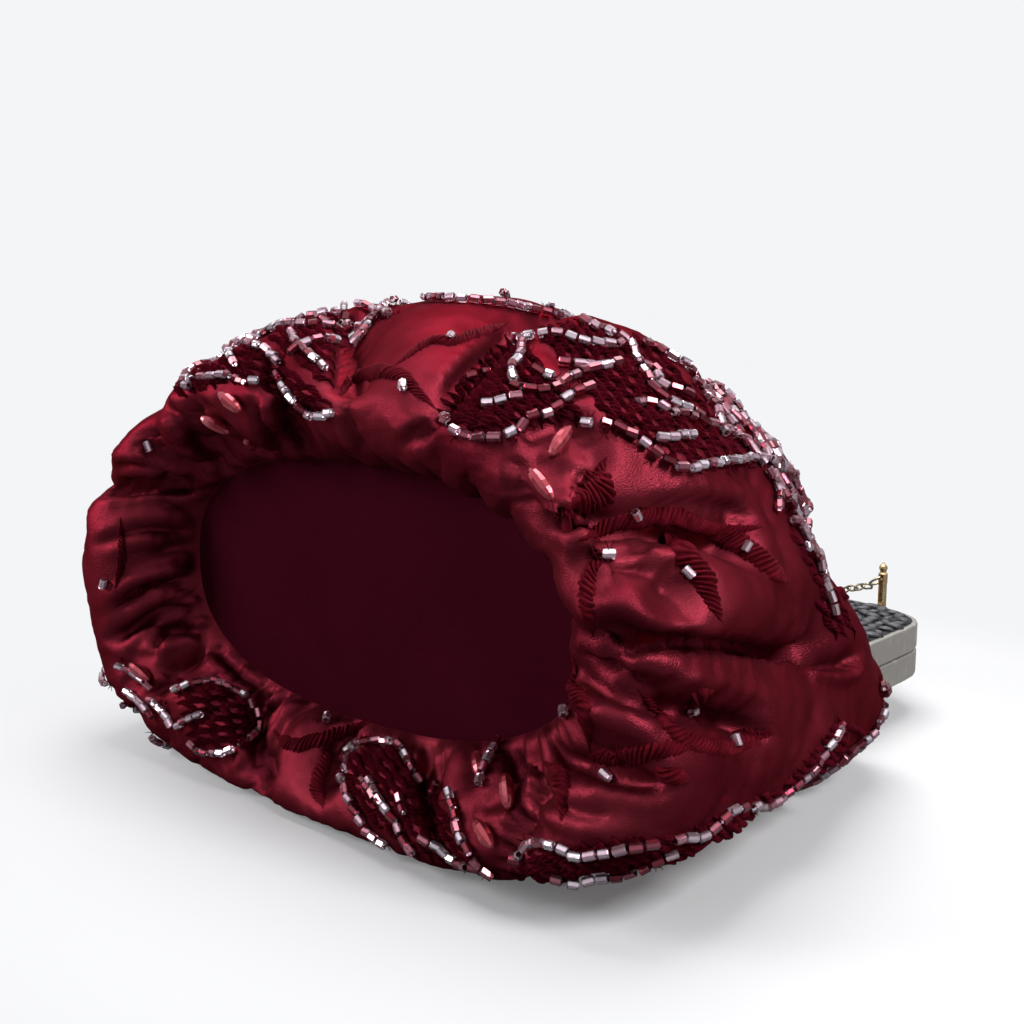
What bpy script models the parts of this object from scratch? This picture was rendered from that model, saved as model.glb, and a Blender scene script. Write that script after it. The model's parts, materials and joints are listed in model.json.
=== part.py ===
"""Gathered satin evening bag with an oval base, an ornamental snap frame and a carry chain.

The bag lies on its back. X runs along its length, Y from the base panel to the frame,
and Z is its thickness. The origin is the middle of the footprint, on the table.
Inside the model, a station is a distance from the base panel towards the frame.
All lengths are in metres.
"""
import math
from collections import namedtuple

import bmesh
import bpy
from mathutils import Matrix, Vector

# Base panel and its board
BASE_HALF_LENGTH = 0.065
BASE_HALF_WIDTH = 0.0305
BASE_HEIGHT = 0.050          # of the panel's centre above the table
BASE_SQUARENESS = 2.4
PANEL_THICKNESS = 0.0012
PANEL_ROUNDING = 0.0004
BOARD_THICKNESS = 0.0028
BASE_SIDES = 48

# Gathered satin body
BODY_HALF_LENGTH = 0.097
BODY_WAIST = 0.0455          # height of the widest line above the table
BODY_CROWN = 0.067           # from the widest line up
BODY_BELLY = 0.0475          # from the widest line down, before it rests flat
FRONT_ROLL = 0.018           # how far the gathers stand in front of the base panel
FRONT_STAND_OUT = 0.004      # of the pearls beyond the front roll
BODY_WALL = 0.0038
CROWN_SQUARENESS = 2.05
BELLY_SQUARENESS = 3.3
BODY_SIDES = 72
FOLD_COUNT = 18
FOLD_DEPTH = 0.0015
FOLD_LEAN_SHARE = 0.05       # how far a fold turns round the body on its way to the frame
FLAT_SHARE = 0.9             # wall left where the belly lies flat

# Neck of the body, held between the arms of the frame
NECK_LENGTH = 0.0085
NECK_SIDE_GAP = 0.0004       # to the rivets' heads and to the faces of the trays
NECK_EAR_GAP = 0.0005        # from the flare of the body to the hinge ears
NECK_SQUARENESS = 3.0
NECK_WALL = 0.0011
LINING_WALL = 0.0009
LINING_GAP = 0.0006
NECK_GAP = 0.0003

# Snap frame: two trays that meet at the parting plane
HINGE_STATION = 0.110
PARTING_HEIGHT = 0.0185
FRAME_HALF_WIDTH = 0.066
ARM_LENGTH = 0.032           # from the hinge axis to where the arms turn into the arch
ARCH_RISE = 0.026
ARCH_SQUARENESS = 2.8
ARCH_STEPS = 26
TRAY_DEPTH = 0.0075
TRAY_WALL = 0.0008
FACE_THICKNESS = 0.0005
FACE_RECESS = 0.0008
LIP_WIDTH = 0.0013
BAND_WIDTH = 0.022
RIM_ROUNDING = 0.0005
FACE_START = 0.005           # from the hinge axis to the lower edge of the faces
PARTING_GAP = 0.00015        # half of the gap between the trays
CLEARANCE = 0.0003

# Hinge ears and rivets
EAR_RADIUS = 0.005
EAR_RELIEF = 0.0004
EAR_STEP = 0.00005           # that each part of an ear is thinner by, on both sides
EAR_TONGUE_LENGTH = 0.0095
EAR_TONGUE_HEIGHT = 0.0048
EAR_TONGUE_FOOT = 0.0006
EAR_BRIDGE_START = 0.0062
RIVET_RADIUS = 0.0012
RIVET_HOLE_RADIUS = 0.0015
RIVET_HEAD_RADIUS = 0.0024
RIVET_HEAD_HEIGHT = 0.0009
RIVET_DOME = 0.0005

# Ornament plates on the faces of the trays
PLATE_THICKNESS = 0.0004
PLATE_INNER_LIP = 0.0008
LEAF_LENGTH = 0.0046
LEAF_WIDTH = 0.0026
LEAF_HEIGHT = 0.0011
LEAF_TURN = 0.62             # radians from the run of the band
BERRY_RADIUS = 0.0015
ARM_MOTIFS = 2
ARCH_MOTIFS = 9
MOTIF_SPREAD_SHARE = 0.23    # of the band's width, from its middle to a leaf
FIRST_MOTIF = 0.0125         # from the hinge axis

# Satin panels that close the windows of the trays
PANEL_MARGIN = 0.004
SATIN_PANEL_THICKNESS = 0.0012
SATIN_PANEL_START = 0.0055

# Clasp knobs
KNOB_RADIUS = 0.0041
KNOB_OFFSET = 0.0044
KNOB_REACH = 0.010
KNOB_STEM_RADIUS = 0.0016
KNOB_COLLAR_RADIUS = 0.0024
KNOB_COLLAR_THICKNESS = 0.0010
KNOB_SHANK_RADIUS = 0.0011
KNOB_ROOT_HEIGHT = 0.0038    # from the parting plane
KNOB_SHANK_LENGTH = 0.0024

# Strap posts, their bosses and rings
POST_PLACE_SHARE = 0.712     # of the frame's half width, from its middle
POST_STAND_OFF = 0.0024      # from the outside of the arch
BOSS_RADIUS = 0.0032
BOSS_TOP = 0.0005            # below the parting plane
POST_RADIUS = 0.00125
POST_EYE_RADIUS = 0.00135
POST_EYE_HEIGHT = 0.0158     # above the parting plane
POST_EYE_REACH = 0.0015
POST_EYE_HOLE = 0.00095
POST_COLLAR_RADIUS = 0.0019
POST_COLLAR_THICKNESS = 0.0007
POST_SHANK_RADIUS = 0.0008
POST_SHANK_LENGTH = 0.0044
POST_SHANK_HOLE = 0.0011
POST_WAIST_RADIUS = 0.0009
FINIAL_RADIUS = 0.00125
FINIAL_TIP = 0.0008
RING_RADIUS = 0.0026
RING_WIRE = 0.0004
RING_RIDE = 0.00015          # the ring's wire beyond the middle of the eye
EYE_TURN = 20.0              # degrees from straight through the frame
RING_HANG = 37.0             # degrees that a ring hangs below level
TURNED_STEPS = 18

# Carry chain, laid behind the frame from one post ring to the other
CHAIN_RADIUS = 0.0014
CHAIN_ROUTE = [
    (0.0423, 0.1680, 0.0306), (0.0370, 0.1692, 0.0292), (0.0315, 0.1708, 0.0270),
    (0.0260, 0.1733, 0.0232), (0.0205, 0.1768, 0.0182), (0.0150, 0.1815, 0.0126),
    (0.0092, 0.1872, 0.0074), (0.0035, 0.1938, 0.0038), (-0.0005, 0.2020, 0.0021),
    (-0.0010, 0.2140, 0.0015), (-0.0070, 0.2270, 0.0015), (-0.0200, 0.2330, 0.0015),
    (-0.0320, 0.2260, 0.0015), (-0.0350, 0.2130, 0.0015), (-0.0430, 0.2040, 0.0015),
    (-0.0550, 0.2060, 0.0015), (-0.0660, 0.2140, 0.0015), (-0.0780, 0.2130, 0.0015),
    (-0.0850, 0.2020, 0.0015), (-0.0820, 0.1890, 0.0019), (-0.0730, 0.1810, 0.0025),
    (-0.0620, 0.1768, 0.0048), (-0.0535, 0.1745, 0.0105), (-0.0475, 0.1728, 0.0175),
    (-0.0440, 0.1708, 0.0245), (-0.0424, 0.1682, 0.0302),
]

# Rice pearls sewn to the satin: rows along the body and turns round it
PEARL_HALF_LENGTH = 0.0039
PEARL_RADIUS = 0.0015
PEARL_SEAT = 0.0004          # thread between a pearl and the satin
PEARL_PLACE_SHARES = [
    # along the profile, round the body, turn of the pearl
    (0.269, 0.282, 0.30), (0.203, 0.306, 0.20), (0.102, 0.305, 0.75),
    (0.419, 0.131, 0.10), (0.322, 0.116, 0.45), (0.089, 0.847, 0.15),
    (0.154, 0.877, 0.95), (0.224, 0.854, 0.15), (0.216, 0.594, 0.60),
]

# The front roll: shares of the way from the base outline to the body outline
ROLL_SHARES = [
    # forward, length, waist, crown, belly
    (-0.11, 0.04, 0.00, 0.03, 0.07), (0.33, 0.08, 0.00, 0.07, 0.15),
    (0.72, 0.19, 0.10, 0.16, 0.38), (0.97, 0.41, 0.30, 0.32, 0.70),
    (1.00, 0.63, 0.52, 0.48, 0.94), (0.72, 0.84, 0.75, 0.64, 1.00),
    (0.11, 0.97, 0.88, 0.82, 1.00),
]
# The drape: shares of the way from the neck outline back to the body outline
DRAPE_SHARES = [
    # station, length, waist, crown, belly
    (0.134, 1.000, 1.000, 0.968, 0.988), (0.325, 0.972, 0.963, 1.000, 0.964),
    (0.517, 0.916, 0.870, 0.919, 0.905), (0.689, 0.804, 0.704, 0.765, 0.787),
    (0.833, 0.636, 0.519, 0.522, 0.665), (0.938, 0.440, 0.333, 0.303, 0.555),
    (0.984, 0.188, 0.130, 0.117, 0.300),
]
# The puffs between the stitched lines: shares of their height, from the front roll to the
# neck and round the body from its right end over the top; below nought, the satin is drawn in
PUFF_HEIGHT = 0.010
PUFF_ROWS_APART = 2          # sections from one row of the table to the next
INSIDE_SHARE = 0.4           # of the puffs that the inside and the lining follow
PUFF_SHARES = [
    [-0.05, 0.00, 0.05, 0.10, 0.11, -0.06, -0.18, -0.24, -0.01,
     0.23, -0.14, -0.30, 0.00, 0.00, 0.00, 0.00, -0.33, -0.23],
    [-0.46, -0.45, -0.38, -0.17, -0.12, -0.04, -0.26, -0.27, -0.17,
     0.23, -0.12, -0.25, 0.00, 0.00, 0.00, 0.00, -0.31, -0.45],
    [-0.46, -0.46, -0.46, -0.22, -0.27, 0.12, 0.02, -0.08, -0.29,
     -0.04, -0.06, -0.10, 0.00, 0.00, 0.00, 0.00, -0.22, -0.23],
    [-0.46, -0.46, -0.03, 0.26, 0.17, -0.09, -0.05, -0.46, -0.38,
     -0.36, -0.40, -0.31, 0.00, 0.00, 0.00, 0.00, -0.46, -0.17],
    [-0.46, -0.46, -0.21, 0.02, 0.23, -0.04, -0.46, -0.44, -0.07,
     -0.03, -0.15, -0.14, 0.00, 0.00, 0.00, 0.00, -0.08, -0.14],
    [-0.24, -0.46, -0.46, -0.21, -0.43, 0.26, -0.20, -0.16, -0.17,
     -0.20, -0.27, -0.17, 0.00, 0.00, 0.00, 0.00, 0.07, 0.02],
]
THIN_WALL_SHARES = {12: 0.75, 13: 0.5}
# The lining's flat end: shares of the first drape section
LINING_END_SHARES = [(0.88, 0.0), (0.965, 0.0042)]
LINING_SIDES = 40

Section = namedtuple("Section", "station half waist crown belly crown_n belly_n")
NECK_STATION = HINGE_STATION - EAR_RADIUS - NECK_EAR_GAP
NECK_HALF_LENGTH = (FRAME_HALF_WIDTH - 2 * TRAY_WALL - 2 * CLEARANCE - RIVET_HEAD_HEIGHT
                    - NECK_SIDE_GAP)
NECK_HALF_HEIGHT = TRAY_DEPTH - FACE_RECESS - FACE_THICKNESS - NECK_SIDE_GAP
POST_PLACE = FRAME_HALF_WIDTH * POST_PLACE_SHARE
ARCH_STATION = HINGE_STATION + ARM_LENGTH + ARCH_RISE
CLASP_END = ARCH_STATION + KNOB_REACH + KNOB_RADIUS
BASE_PLANE_Y = -(CLASP_END - FRONT_ROLL - FRONT_STAND_OUT) / 2


def clear_scene():
    for old in list(bpy.data.objects):
        bpy.data.objects.remove(old, do_unlink=True)


def make_collection(name):
    collection = bpy.data.collections.new(name)
    bpy.context.scene.collection.children.link(collection)
    return collection


def make_material(name, colour, roughness, metallic=0.0):
    material = bpy.data.materials.new(name)
    material.use_nodes = True
    shader = material.node_tree.nodes["Principled BSDF"]
    shader.inputs["Base Color"].default_value = (*colour, 1.0)
    shader.inputs["Roughness"].default_value = roughness
    shader.inputs["Metallic"].default_value = metallic
    return material


def make_empty(name, location, parent=None):
    empty = bpy.data.objects.new(name, None)
    empty.location = location
    empty.parent = parent
    parts.objects.link(empty)
    return empty


def make_object(name, mesh, parent, material=None, location=(0, 0, 0), smooth=True):
    piece = bpy.data.objects.new(name, mesh)
    piece.location = location
    piece.parent = parent
    if material:
        mesh.materials.append(material)
    if smooth:
        mesh.shade_smooth()
        mesh.set_sharp_from_angle(angle=math.radians(35))
    (parts if material else cutters).objects.link(piece)
    if not material:
        piece.hide_render = True
        piece.display_type = "WIRE"
    return piece


def mesh_from(bm, name):
    mesh = bpy.data.meshes.new(name)
    bm.to_mesh(mesh)
    bm.free()
    return mesh


def combine(piece, tool, operation="DIFFERENCE"):
    modifier = piece.modifiers.new(tool.name, "BOOLEAN")
    modifier.operation = operation
    modifier.solver = "EXACT"
    modifier.object = tool


def box_mesh(name, low, high):
    bm = bmesh.new()
    bmesh.ops.create_cube(bm, size=1.0)
    size = [b - a for a, b in zip(low, high)]
    middle = [(a + b) / 2 for a, b in zip(low, high)]
    bmesh.ops.scale(bm, vec=size, verts=bm.verts)
    bmesh.ops.translate(bm, vec=middle, verts=bm.verts)
    return mesh_from(bm, name)


def rod_mesh(name, radius, start, end, sides=24):
    """A cylinder between two points."""
    start, end = Vector(start), Vector(end)
    bm = bmesh.new()
    bmesh.ops.create_cone(bm, cap_ends=True, segments=sides, radius1=radius, radius2=radius,
                          depth=(end - start).length)
    turn = (end - start).to_track_quat("Z", "Y").to_matrix().to_4x4()
    bmesh.ops.transform(bm, matrix=Matrix.Translation((start + end) / 2) @ turn, verts=bm.verts)
    return mesh_from(bm, name)


def mesh_of_curve(guide):
    """The curve object's solid as a mesh, with its caps welded on."""
    bpy.context.view_layer.update()
    evaluated = guide.evaluated_get(bpy.context.evaluated_depsgraph_get())
    mesh = bpy.data.meshes.new_from_object(evaluated)
    bm = bmesh.new()
    bm.from_mesh(mesh)
    bmesh.ops.remove_doubles(bm, verts=bm.verts, dist=RIM_ROUNDING / 100)
    bpy.data.objects.remove(guide, do_unlink=True)
    return mesh_from(bm, mesh.name)


def prism_mesh(name, outline, low, high, rounding=0.0):
    """A flat outline given a thickness, with rounded edges where asked."""
    curve = bpy.data.curves.new(name, "CURVE")
    curve.dimensions = "2D"
    curve.fill_mode = "BOTH"
    curve.extrude = (high - low) / 2 - rounding
    curve.bevel_depth = rounding
    curve.offset = -rounding
    curve.bevel_resolution = 1
    spline = curve.splines.new("POLY")
    spline.points.add(len(outline) - 1)
    for point, (x, y) in zip(spline.points, outline):
        point.co = (x, y, 0.0, 1.0)
    spline.use_cyclic_u = True
    guide = bpy.data.objects.new(name, curve)
    parts.objects.link(guide)
    mesh = mesh_of_curve(guide)
    mesh.transform(Matrix.Translation((0, 0, (low + high) / 2)))
    return mesh


def turned(name, profile, parent, material, location):
    """A profile of (radius, height) points, listed top to bottom, turned about Z."""
    bm = bmesh.new()
    points = [bm.verts.new((radius, 0, height)) for radius, height in profile]
    for a, b in zip(points, points[1:]):
        bm.edges.new((a, b))
    piece = make_object(name, mesh_from(bm, name), parent, material, location)
    screw = piece.modifiers.new("turn", "SCREW")
    screw.steps = TURNED_STEPS
    screw.render_steps = TURNED_STEPS
    screw.use_merge_vertices = True
    screw.merge_threshold = RIM_ROUNDING / 100
    return piece


def mix(a, b, share):
    return a + (b - a) * share


def ring_angles(count):
    return [2 * math.pi * i / count for i in range(count)]


def power(value, exponent):
    return math.copysign(abs(value) ** exponent, value)


def section_point(section, angle):
    """A point of a section: a rounder crown over a squarer belly."""
    c, s = math.cos(angle), math.sin(angle)
    reach = section.crown if s >= 0 else section.belly
    n = section.crown_n if s >= 0 else section.belly_n
    x = section.half * power(c, 2 / n)
    z = section.waist + reach * power(s, 2 / n)
    return Vector((x, section.station, z))


def body_sections():
    """The outside of the satin, from the base edge over the front roll to the neck."""
    rows = []
    for forward, length, waist, crown, belly in ROLL_SHARES:
        rows.append(Section(
            -FRONT_ROLL * forward,
            mix(BASE_HALF_LENGTH, BODY_HALF_LENGTH, length),
            mix(BASE_HEIGHT, BODY_WAIST, waist),
            mix(BASE_HALF_WIDTH, BODY_CROWN, crown),
            mix(BASE_HALF_WIDTH, BODY_BELLY, belly),
            mix(BASE_SQUARENESS, CROWN_SQUARENESS, length),
            mix(BASE_SQUARENESS, BELLY_SQUARENESS, length)))
    for station, length, waist, crown, belly in DRAPE_SHARES:
        squarer = (1 - length) ** 4
        rows.append(Section(
            NECK_STATION * station,
            mix(NECK_HALF_LENGTH, BODY_HALF_LENGTH, length),
            mix(PARTING_HEIGHT, BODY_WAIST, waist),
            mix(NECK_HALF_HEIGHT, BODY_CROWN, crown),
            mix(NECK_HALF_HEIGHT, BODY_BELLY, belly),
            mix(CROWN_SQUARENESS, NECK_SQUARENESS, squarer),
            mix(BELLY_SQUARENESS, NECK_SQUARENESS, squarer)))
    for station in (NECK_STATION, NECK_STATION + NECK_LENGTH):
        rows.append(Section(station, NECK_HALF_LENGTH, PARTING_HEIGHT, NECK_HALF_HEIGHT,
                            NECK_HALF_HEIGHT, NECK_SQUARENESS, NECK_SQUARENESS))
    return rows


def inset_sections(rows, depths):
    """Each section moved square to the profile, into the wall, by its depth."""
    moved = []
    for i, (row, depth) in enumerate(zip(rows, depths)):
        before, after = rows[max(i - 1, 0)], rows[min(i + 1, len(rows) - 1)]
        run = Vector((after.station - before.station, after.half - before.half)).normalized()
        along, across = run.y * depth, -run.x * depth
        moved.append(row._replace(station=row.station + along, half=row.half + across,
                                  crown=row.crown + across, belly=row.belly + across))
    return moved


def wall_depths(rows):
    last = len(rows) - 2
    depths = [BODY_WALL * THIN_WALL_SHARES.get(i, 1.0) for i in range(last)]
    return depths + [NECK_WALL, NECK_WALL]


def puff_height(place, turn_share):
    """How far the satin stands out between its stitched lines, at a row and a turn."""
    table = [[0.0] * len(PUFF_SHARES[0])] + PUFF_SHARES + [[0.0] * len(PUFF_SHARES[0])]
    along = min(max((place + 1) / PUFF_ROWS_APART, 0.0), len(table) - 1.001)
    first = int(along)
    count = len(table[0])
    around = turn_share * count
    column = math.floor(around)
    t = around - column
    heights = []
    for row in (table[first], table[first + 1]):
        a, b, c, d = (row[(column + k) % count] for k in (-1, 0, 1, 2))
        heights.append(0.5 * (2 * b + (c - a) * t + (2 * a - 5 * b + 4 * c - d) * t ** 2
                              + (3 * b - a - 3 * c + d) * t ** 3))
    ease = 0.5 - 0.5 * math.cos(math.pi * (along - first))
    return PUFF_HEIGHT * mix(heights[0], heights[1], ease)


def puffed_point(rows, i, place, angle, share=1.0):
    """A point of a section, moved square to the surface by a share of the puff there."""
    before, after = rows[max(i - 1, 0)], rows[min(i + 1, len(rows) - 1)]
    step = math.pi / BODY_SIDES
    along = section_point(after, angle) - section_point(before, angle)
    round_it = section_point(rows[i], angle + step) - section_point(rows[i], angle - step)
    out = along.cross(round_it).normalized()
    height = share * puff_height(place, angle / (2 * math.pi))
    return section_point(rows[i], angle) + out * height


def fold_depth(place_share, turn_share):
    """How deep a fold is pressed in at a place along the profile and round the body."""
    phase = FOLD_COUNT * (turn_share + FOLD_LEAN_SHARE * place_share)
    valley = 1 - abs(math.sin(math.pi * phase)) ** 0.7
    along = math.sin(math.pi * min(max(place_share, 0.0), 1.0)) ** 0.5
    clear_of_table = min(max(0.75 + math.sin(2 * math.pi * turn_share), 0.0), 1.0)
    return FOLD_DEPTH * valley * along * clear_of_table


def folded_point(rows, i, angle):
    """A point on the outside of the satin."""
    point = puffed_point(rows, i, i, angle)
    out = point - Vector((0, rows[i].station, rows[i].waist))
    place_share = min(i / (len(rows) - 3), 1.0)
    point -= out.normalized() * fold_depth(place_share, angle / (2 * math.pi))
    point.z = max(point.z, 0.0)
    return point


def loft(name, rings, ends):
    """Faces between rings of points. Ends is JOINED for a tube wall, CAPPED for a cup wall."""
    bm = bmesh.new()
    loops = [[bm.verts.new(p) for p in ring] for ring in rings]
    pairs = list(zip(loops, loops[1:]))
    if ends == "JOINED":
        pairs.append((loops[-1], loops[0]))
    for lower, upper in pairs:
        for i in range(len(lower)):
            j = (i + 1) % len(lower)
            bm.faces.new((lower[i], lower[j], upper[j], upper[i]))
    if ends == "CAPPED":
        bm.faces.new(reversed(loops[0]))
        bm.faces.new(loops[-1])
    bmesh.ops.recalc_face_normals(bm, faces=bm.faces)
    return mesh_from(bm, name)


def make_satin_body():
    angles = ring_angles(BODY_SIDES)
    rows = body_sections()
    outer = [[folded_point(rows, i, a) for a in angles] for i in range(len(rows))]
    inside = inset_sections(rows, wall_depths(rows))
    inner = []
    for i in reversed(range(len(rows))):
        ring = [puffed_point(inside, i, i, a, INSIDE_SHARE) for a in angles]
        for point in ring:
            point.z = max(point.z, BODY_WALL * FLAT_SHARE)
        inner.append(ring)
    mesh = loft("satin_body", outer + inner, "JOINED")
    return make_object("satin_body", mesh, base, satin)


def make_lining():
    """A cup that hangs inside the body from the neck."""
    angles = ring_angles(LINING_SIDES)
    rows = body_sections()
    walls = wall_depths(rows)
    gaps = [LINING_GAP] * (len(rows) - 2) + [NECK_GAP, NECK_GAP]
    start = len(ROLL_SHARES)
    floor = PANEL_THICKNESS + BOARD_THICKNESS + 2 * CLEARANCE + LINING_GAP

    def cup(extra):
        depths = [wall + gap + extra for wall, gap in zip(walls, gaps)]
        drape = inset_sections(rows, depths)[start:]
        first = drape[0]
        ends = [first._replace(station=floor + rise + extra, half=first.half * share,
                               crown=first.crown * share, belly=first.belly * share)
                for share, rise in LINING_END_SHARES]
        low = BODY_WALL * FLAT_SHARE + LINING_GAP + extra
        layers = ends + drape
        places = [i + start - len(ends) for i in range(len(layers))]
        rings = [[puffed_point(layers, i, place, a, INSIDE_SHARE) for a in angles]
                 for i, place in enumerate(places)]
        for ring in rings:
            for point in ring:
                point.z = max(point.z, low)
        return rings

    mesh = loft("satin_lining", cup(0.0) + cup(LINING_WALL)[::-1], "CAPPED")
    return make_object("satin_lining", mesh, base, lining_cloth)


def oval(half_length, half_width, squareness, count):
    return [(half_length * power(math.cos(a), 2 / squareness),
             half_width * power(math.sin(a), 2 / squareness)) for a in ring_angles(count)]


def make_base():
    """The covered panel that shows, and the stiff board behind it."""
    upright = Matrix.Rotation(math.radians(90), 4, "X")
    outline = oval(BASE_HALF_LENGTH, BASE_HALF_WIDTH, BASE_SQUARENESS, BASE_SIDES)
    for name, near, thickness, rounding, material in (
            ("base_panel", 0.0, PANEL_THICKNESS, PANEL_ROUNDING, panel_cloth),
            ("base_board", PANEL_THICKNESS + CLEARANCE, BOARD_THICKNESS, 0.0, board_card)):
        mesh = prism_mesh(name, outline, -near - thickness, -near, rounding)
        mesh.transform(upright)
        make_object(name, mesh, base, material, (0, 0, BASE_HEIGHT))


def arch_outline(inset, start):
    """The D-shaped outline of a tray, drawn in by an inset, from a start below its arms."""
    half = FRAME_HALF_WIDTH - inset
    rise = ARCH_RISE - inset
    points = [(half, start)]
    for i in range(ARCH_STEPS + 1):
        a = math.pi * i / ARCH_STEPS
        points.append((half * power(math.cos(a), 2 / ARCH_SQUARENESS),
                       ARM_LENGTH + rise * power(math.sin(a), 2 / ARCH_SQUARENESS)))
    points.append((-half, start))
    return points


def window_outline(start, grow=0.0):
    """The window inside the band, a plainer arch that keeps the band's width."""
    return arch_outline(BAND_WIDTH - grow, start)


def arch_reach(x):
    """How far the outside of the arch is from the hinge axis at a place across it."""
    share = (1 - (x / FRAME_HALF_WIDTH) ** ARCH_SQUARENESS) ** (1 / ARCH_SQUARENESS)
    return ARM_LENGTH + ARCH_RISE * share


def flip(mesh, side):
    """The lower tray's parts are the upper's, mirrored in the parting plane."""
    if side < 0:
        bm = bmesh.new()
        bm.from_mesh(mesh)
        bmesh.ops.scale(bm, vec=(1, 1, -1), verts=bm.verts)
        bmesh.ops.recalc_face_normals(bm, faces=bm.faces)
        bm.to_mesh(mesh)
        bm.free()
    return mesh


def make_tray(name, hinge, side):
    """One half of the frame: a rim wall, a banded face with a lip, and the hinge ears."""
    open_end = -EAR_RADIUS
    far = 2 * TRAY_DEPTH
    face = TRAY_DEPTH - FACE_RECESS
    tray = make_object(name, flip(prism_mesh(name, arch_outline(0.0, FACE_START), PARTING_GAP,
                                             TRAY_DEPTH, RIM_ROUNDING), side), hinge, pewter)
    for label, outline, low, high in (
            ("pocket", arch_outline(TRAY_WALL, open_end), -TRAY_WALL, face - FACE_THICKNESS),
            ("recess", arch_outline(LIP_WIDTH, open_end), face, far),
            ("window", window_outline(open_end), -TRAY_WALL, far)):
        mesh = flip(prism_mesh(name + "_" + label, outline, low, high), side)
        combine(tray, make_object(name + "_" + label, mesh, hinge))
    for hand in (-1, 1):
        add_ear(tray, name, hinge, side, hand)
    return tray


def add_ear(tray, name, hinge, side, hand):
    """The upper tray's ear lies inside the lower tray's, with the rivet through both."""
    outside = FRAME_HALF_WIDTH
    wall_inside = outside - TRAY_WALL
    label = name + ("_left" if hand < 0 else "_right")
    if side > 0:
        near, far = wall_inside - CLEARANCE - TRAY_WALL, wall_inside - CLEARANCE
        relief = EAR_RADIUS + EAR_RELIEF
        mesh = rod_mesh(label + "_relief", relief, (hand * (wall_inside - CLEARANCE / 2), 0, 0),
                        (hand * (outside + TRAY_WALL), 0, 0))
        combine(tray, make_object(label + "_relief", mesh, hinge))
        bridge_end = outside - TRAY_WALL / 2
    else:
        near, far = wall_inside + EAR_STEP, outside - EAR_STEP
        bridge_end = far
    ear = make_object(label + "_ear", rod_mesh(label + "_ear", EAR_RADIUS, (hand * near, 0, 0),
                                               (hand * far, 0, 0)), hinge)
    combine(tray, ear, "UNION")
    for part, start, end, step in (("tongue", 0.0, far, EAR_STEP),
                                   ("bridge", EAR_BRIDGE_START, bridge_end, 2 * EAR_STEP)):
        xs = sorted((hand * (near + step), hand * (end - step)))
        zs = sorted((side * EAR_TONGUE_FOOT, side * EAR_TONGUE_HEIGHT))
        mesh = box_mesh(label + part, (xs[0], start, zs[0]), (xs[1], EAR_TONGUE_LENGTH, zs[1]))
        combine(tray, make_object(label + "_" + part, mesh, hinge), "UNION")
    mesh = rod_mesh(label + "_bore", RIVET_HOLE_RADIUS, (hand * (near - TRAY_WALL), 0, 0),
                    (hand * (outside + TRAY_WALL), 0, 0), sides=20)
    combine(tray, make_object(label + "_bore", mesh, hinge))


def make_rivets():
    """Domed rivets that carry the upper tray's ears on the lower tray's."""
    outer = FRAME_HALF_WIDTH + CLEARANCE
    inner = FRAME_HALF_WIDTH - 2 * TRAY_WALL - 2 * CLEARANCE
    profile = [(0, outer + RIVET_HEAD_HEIGHT), (RIVET_HEAD_RADIUS / 2, outer + RIVET_HEAD_HEIGHT
                                                - RIVET_DOME / 3),
               (RIVET_HEAD_RADIUS, outer + RIVET_HEAD_HEIGHT - RIVET_DOME),
               (RIVET_HEAD_RADIUS, outer), (RIVET_RADIUS, outer), (RIVET_RADIUS, inner),
               (RIVET_HEAD_RADIUS, inner), (RIVET_HEAD_RADIUS, inner - RIVET_HEAD_HEIGHT),
               (0, inner - RIVET_HEAD_HEIGHT)]
    for name, hand in (("left_hinge_rivet", -1), ("right_hinge_rivet", 1)):
        rivet = turned(name, profile, back_hinge, pewter, (0, 0, 0))
        rivet.rotation_euler = (0, hand * math.radians(90), 0)


def band_path():
    """Places and headings for the motifs along the middle of the band."""
    middle = BAND_WIDTH / 2
    half = FRAME_HALF_WIDTH - middle
    places = []
    for i in range(ARM_MOTIFS):
        up = mix(FIRST_MOTIF, ARM_LENGTH, i / ARM_MOTIFS)
        places += [(half, up, math.pi / 2), (-half, up, -math.pi / 2)]
    rise = ARCH_RISE - middle
    for i in range(ARCH_MOTIFS):
        a = math.pi * (i + 0.5) / ARCH_MOTIFS
        x = half * power(math.cos(a), 2 / ARCH_SQUARENESS)
        y = ARM_LENGTH + rise * power(math.sin(a), 2 / ARCH_SQUARENESS)
        places.append((x, y, a + math.pi / 2))
    return places


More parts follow.
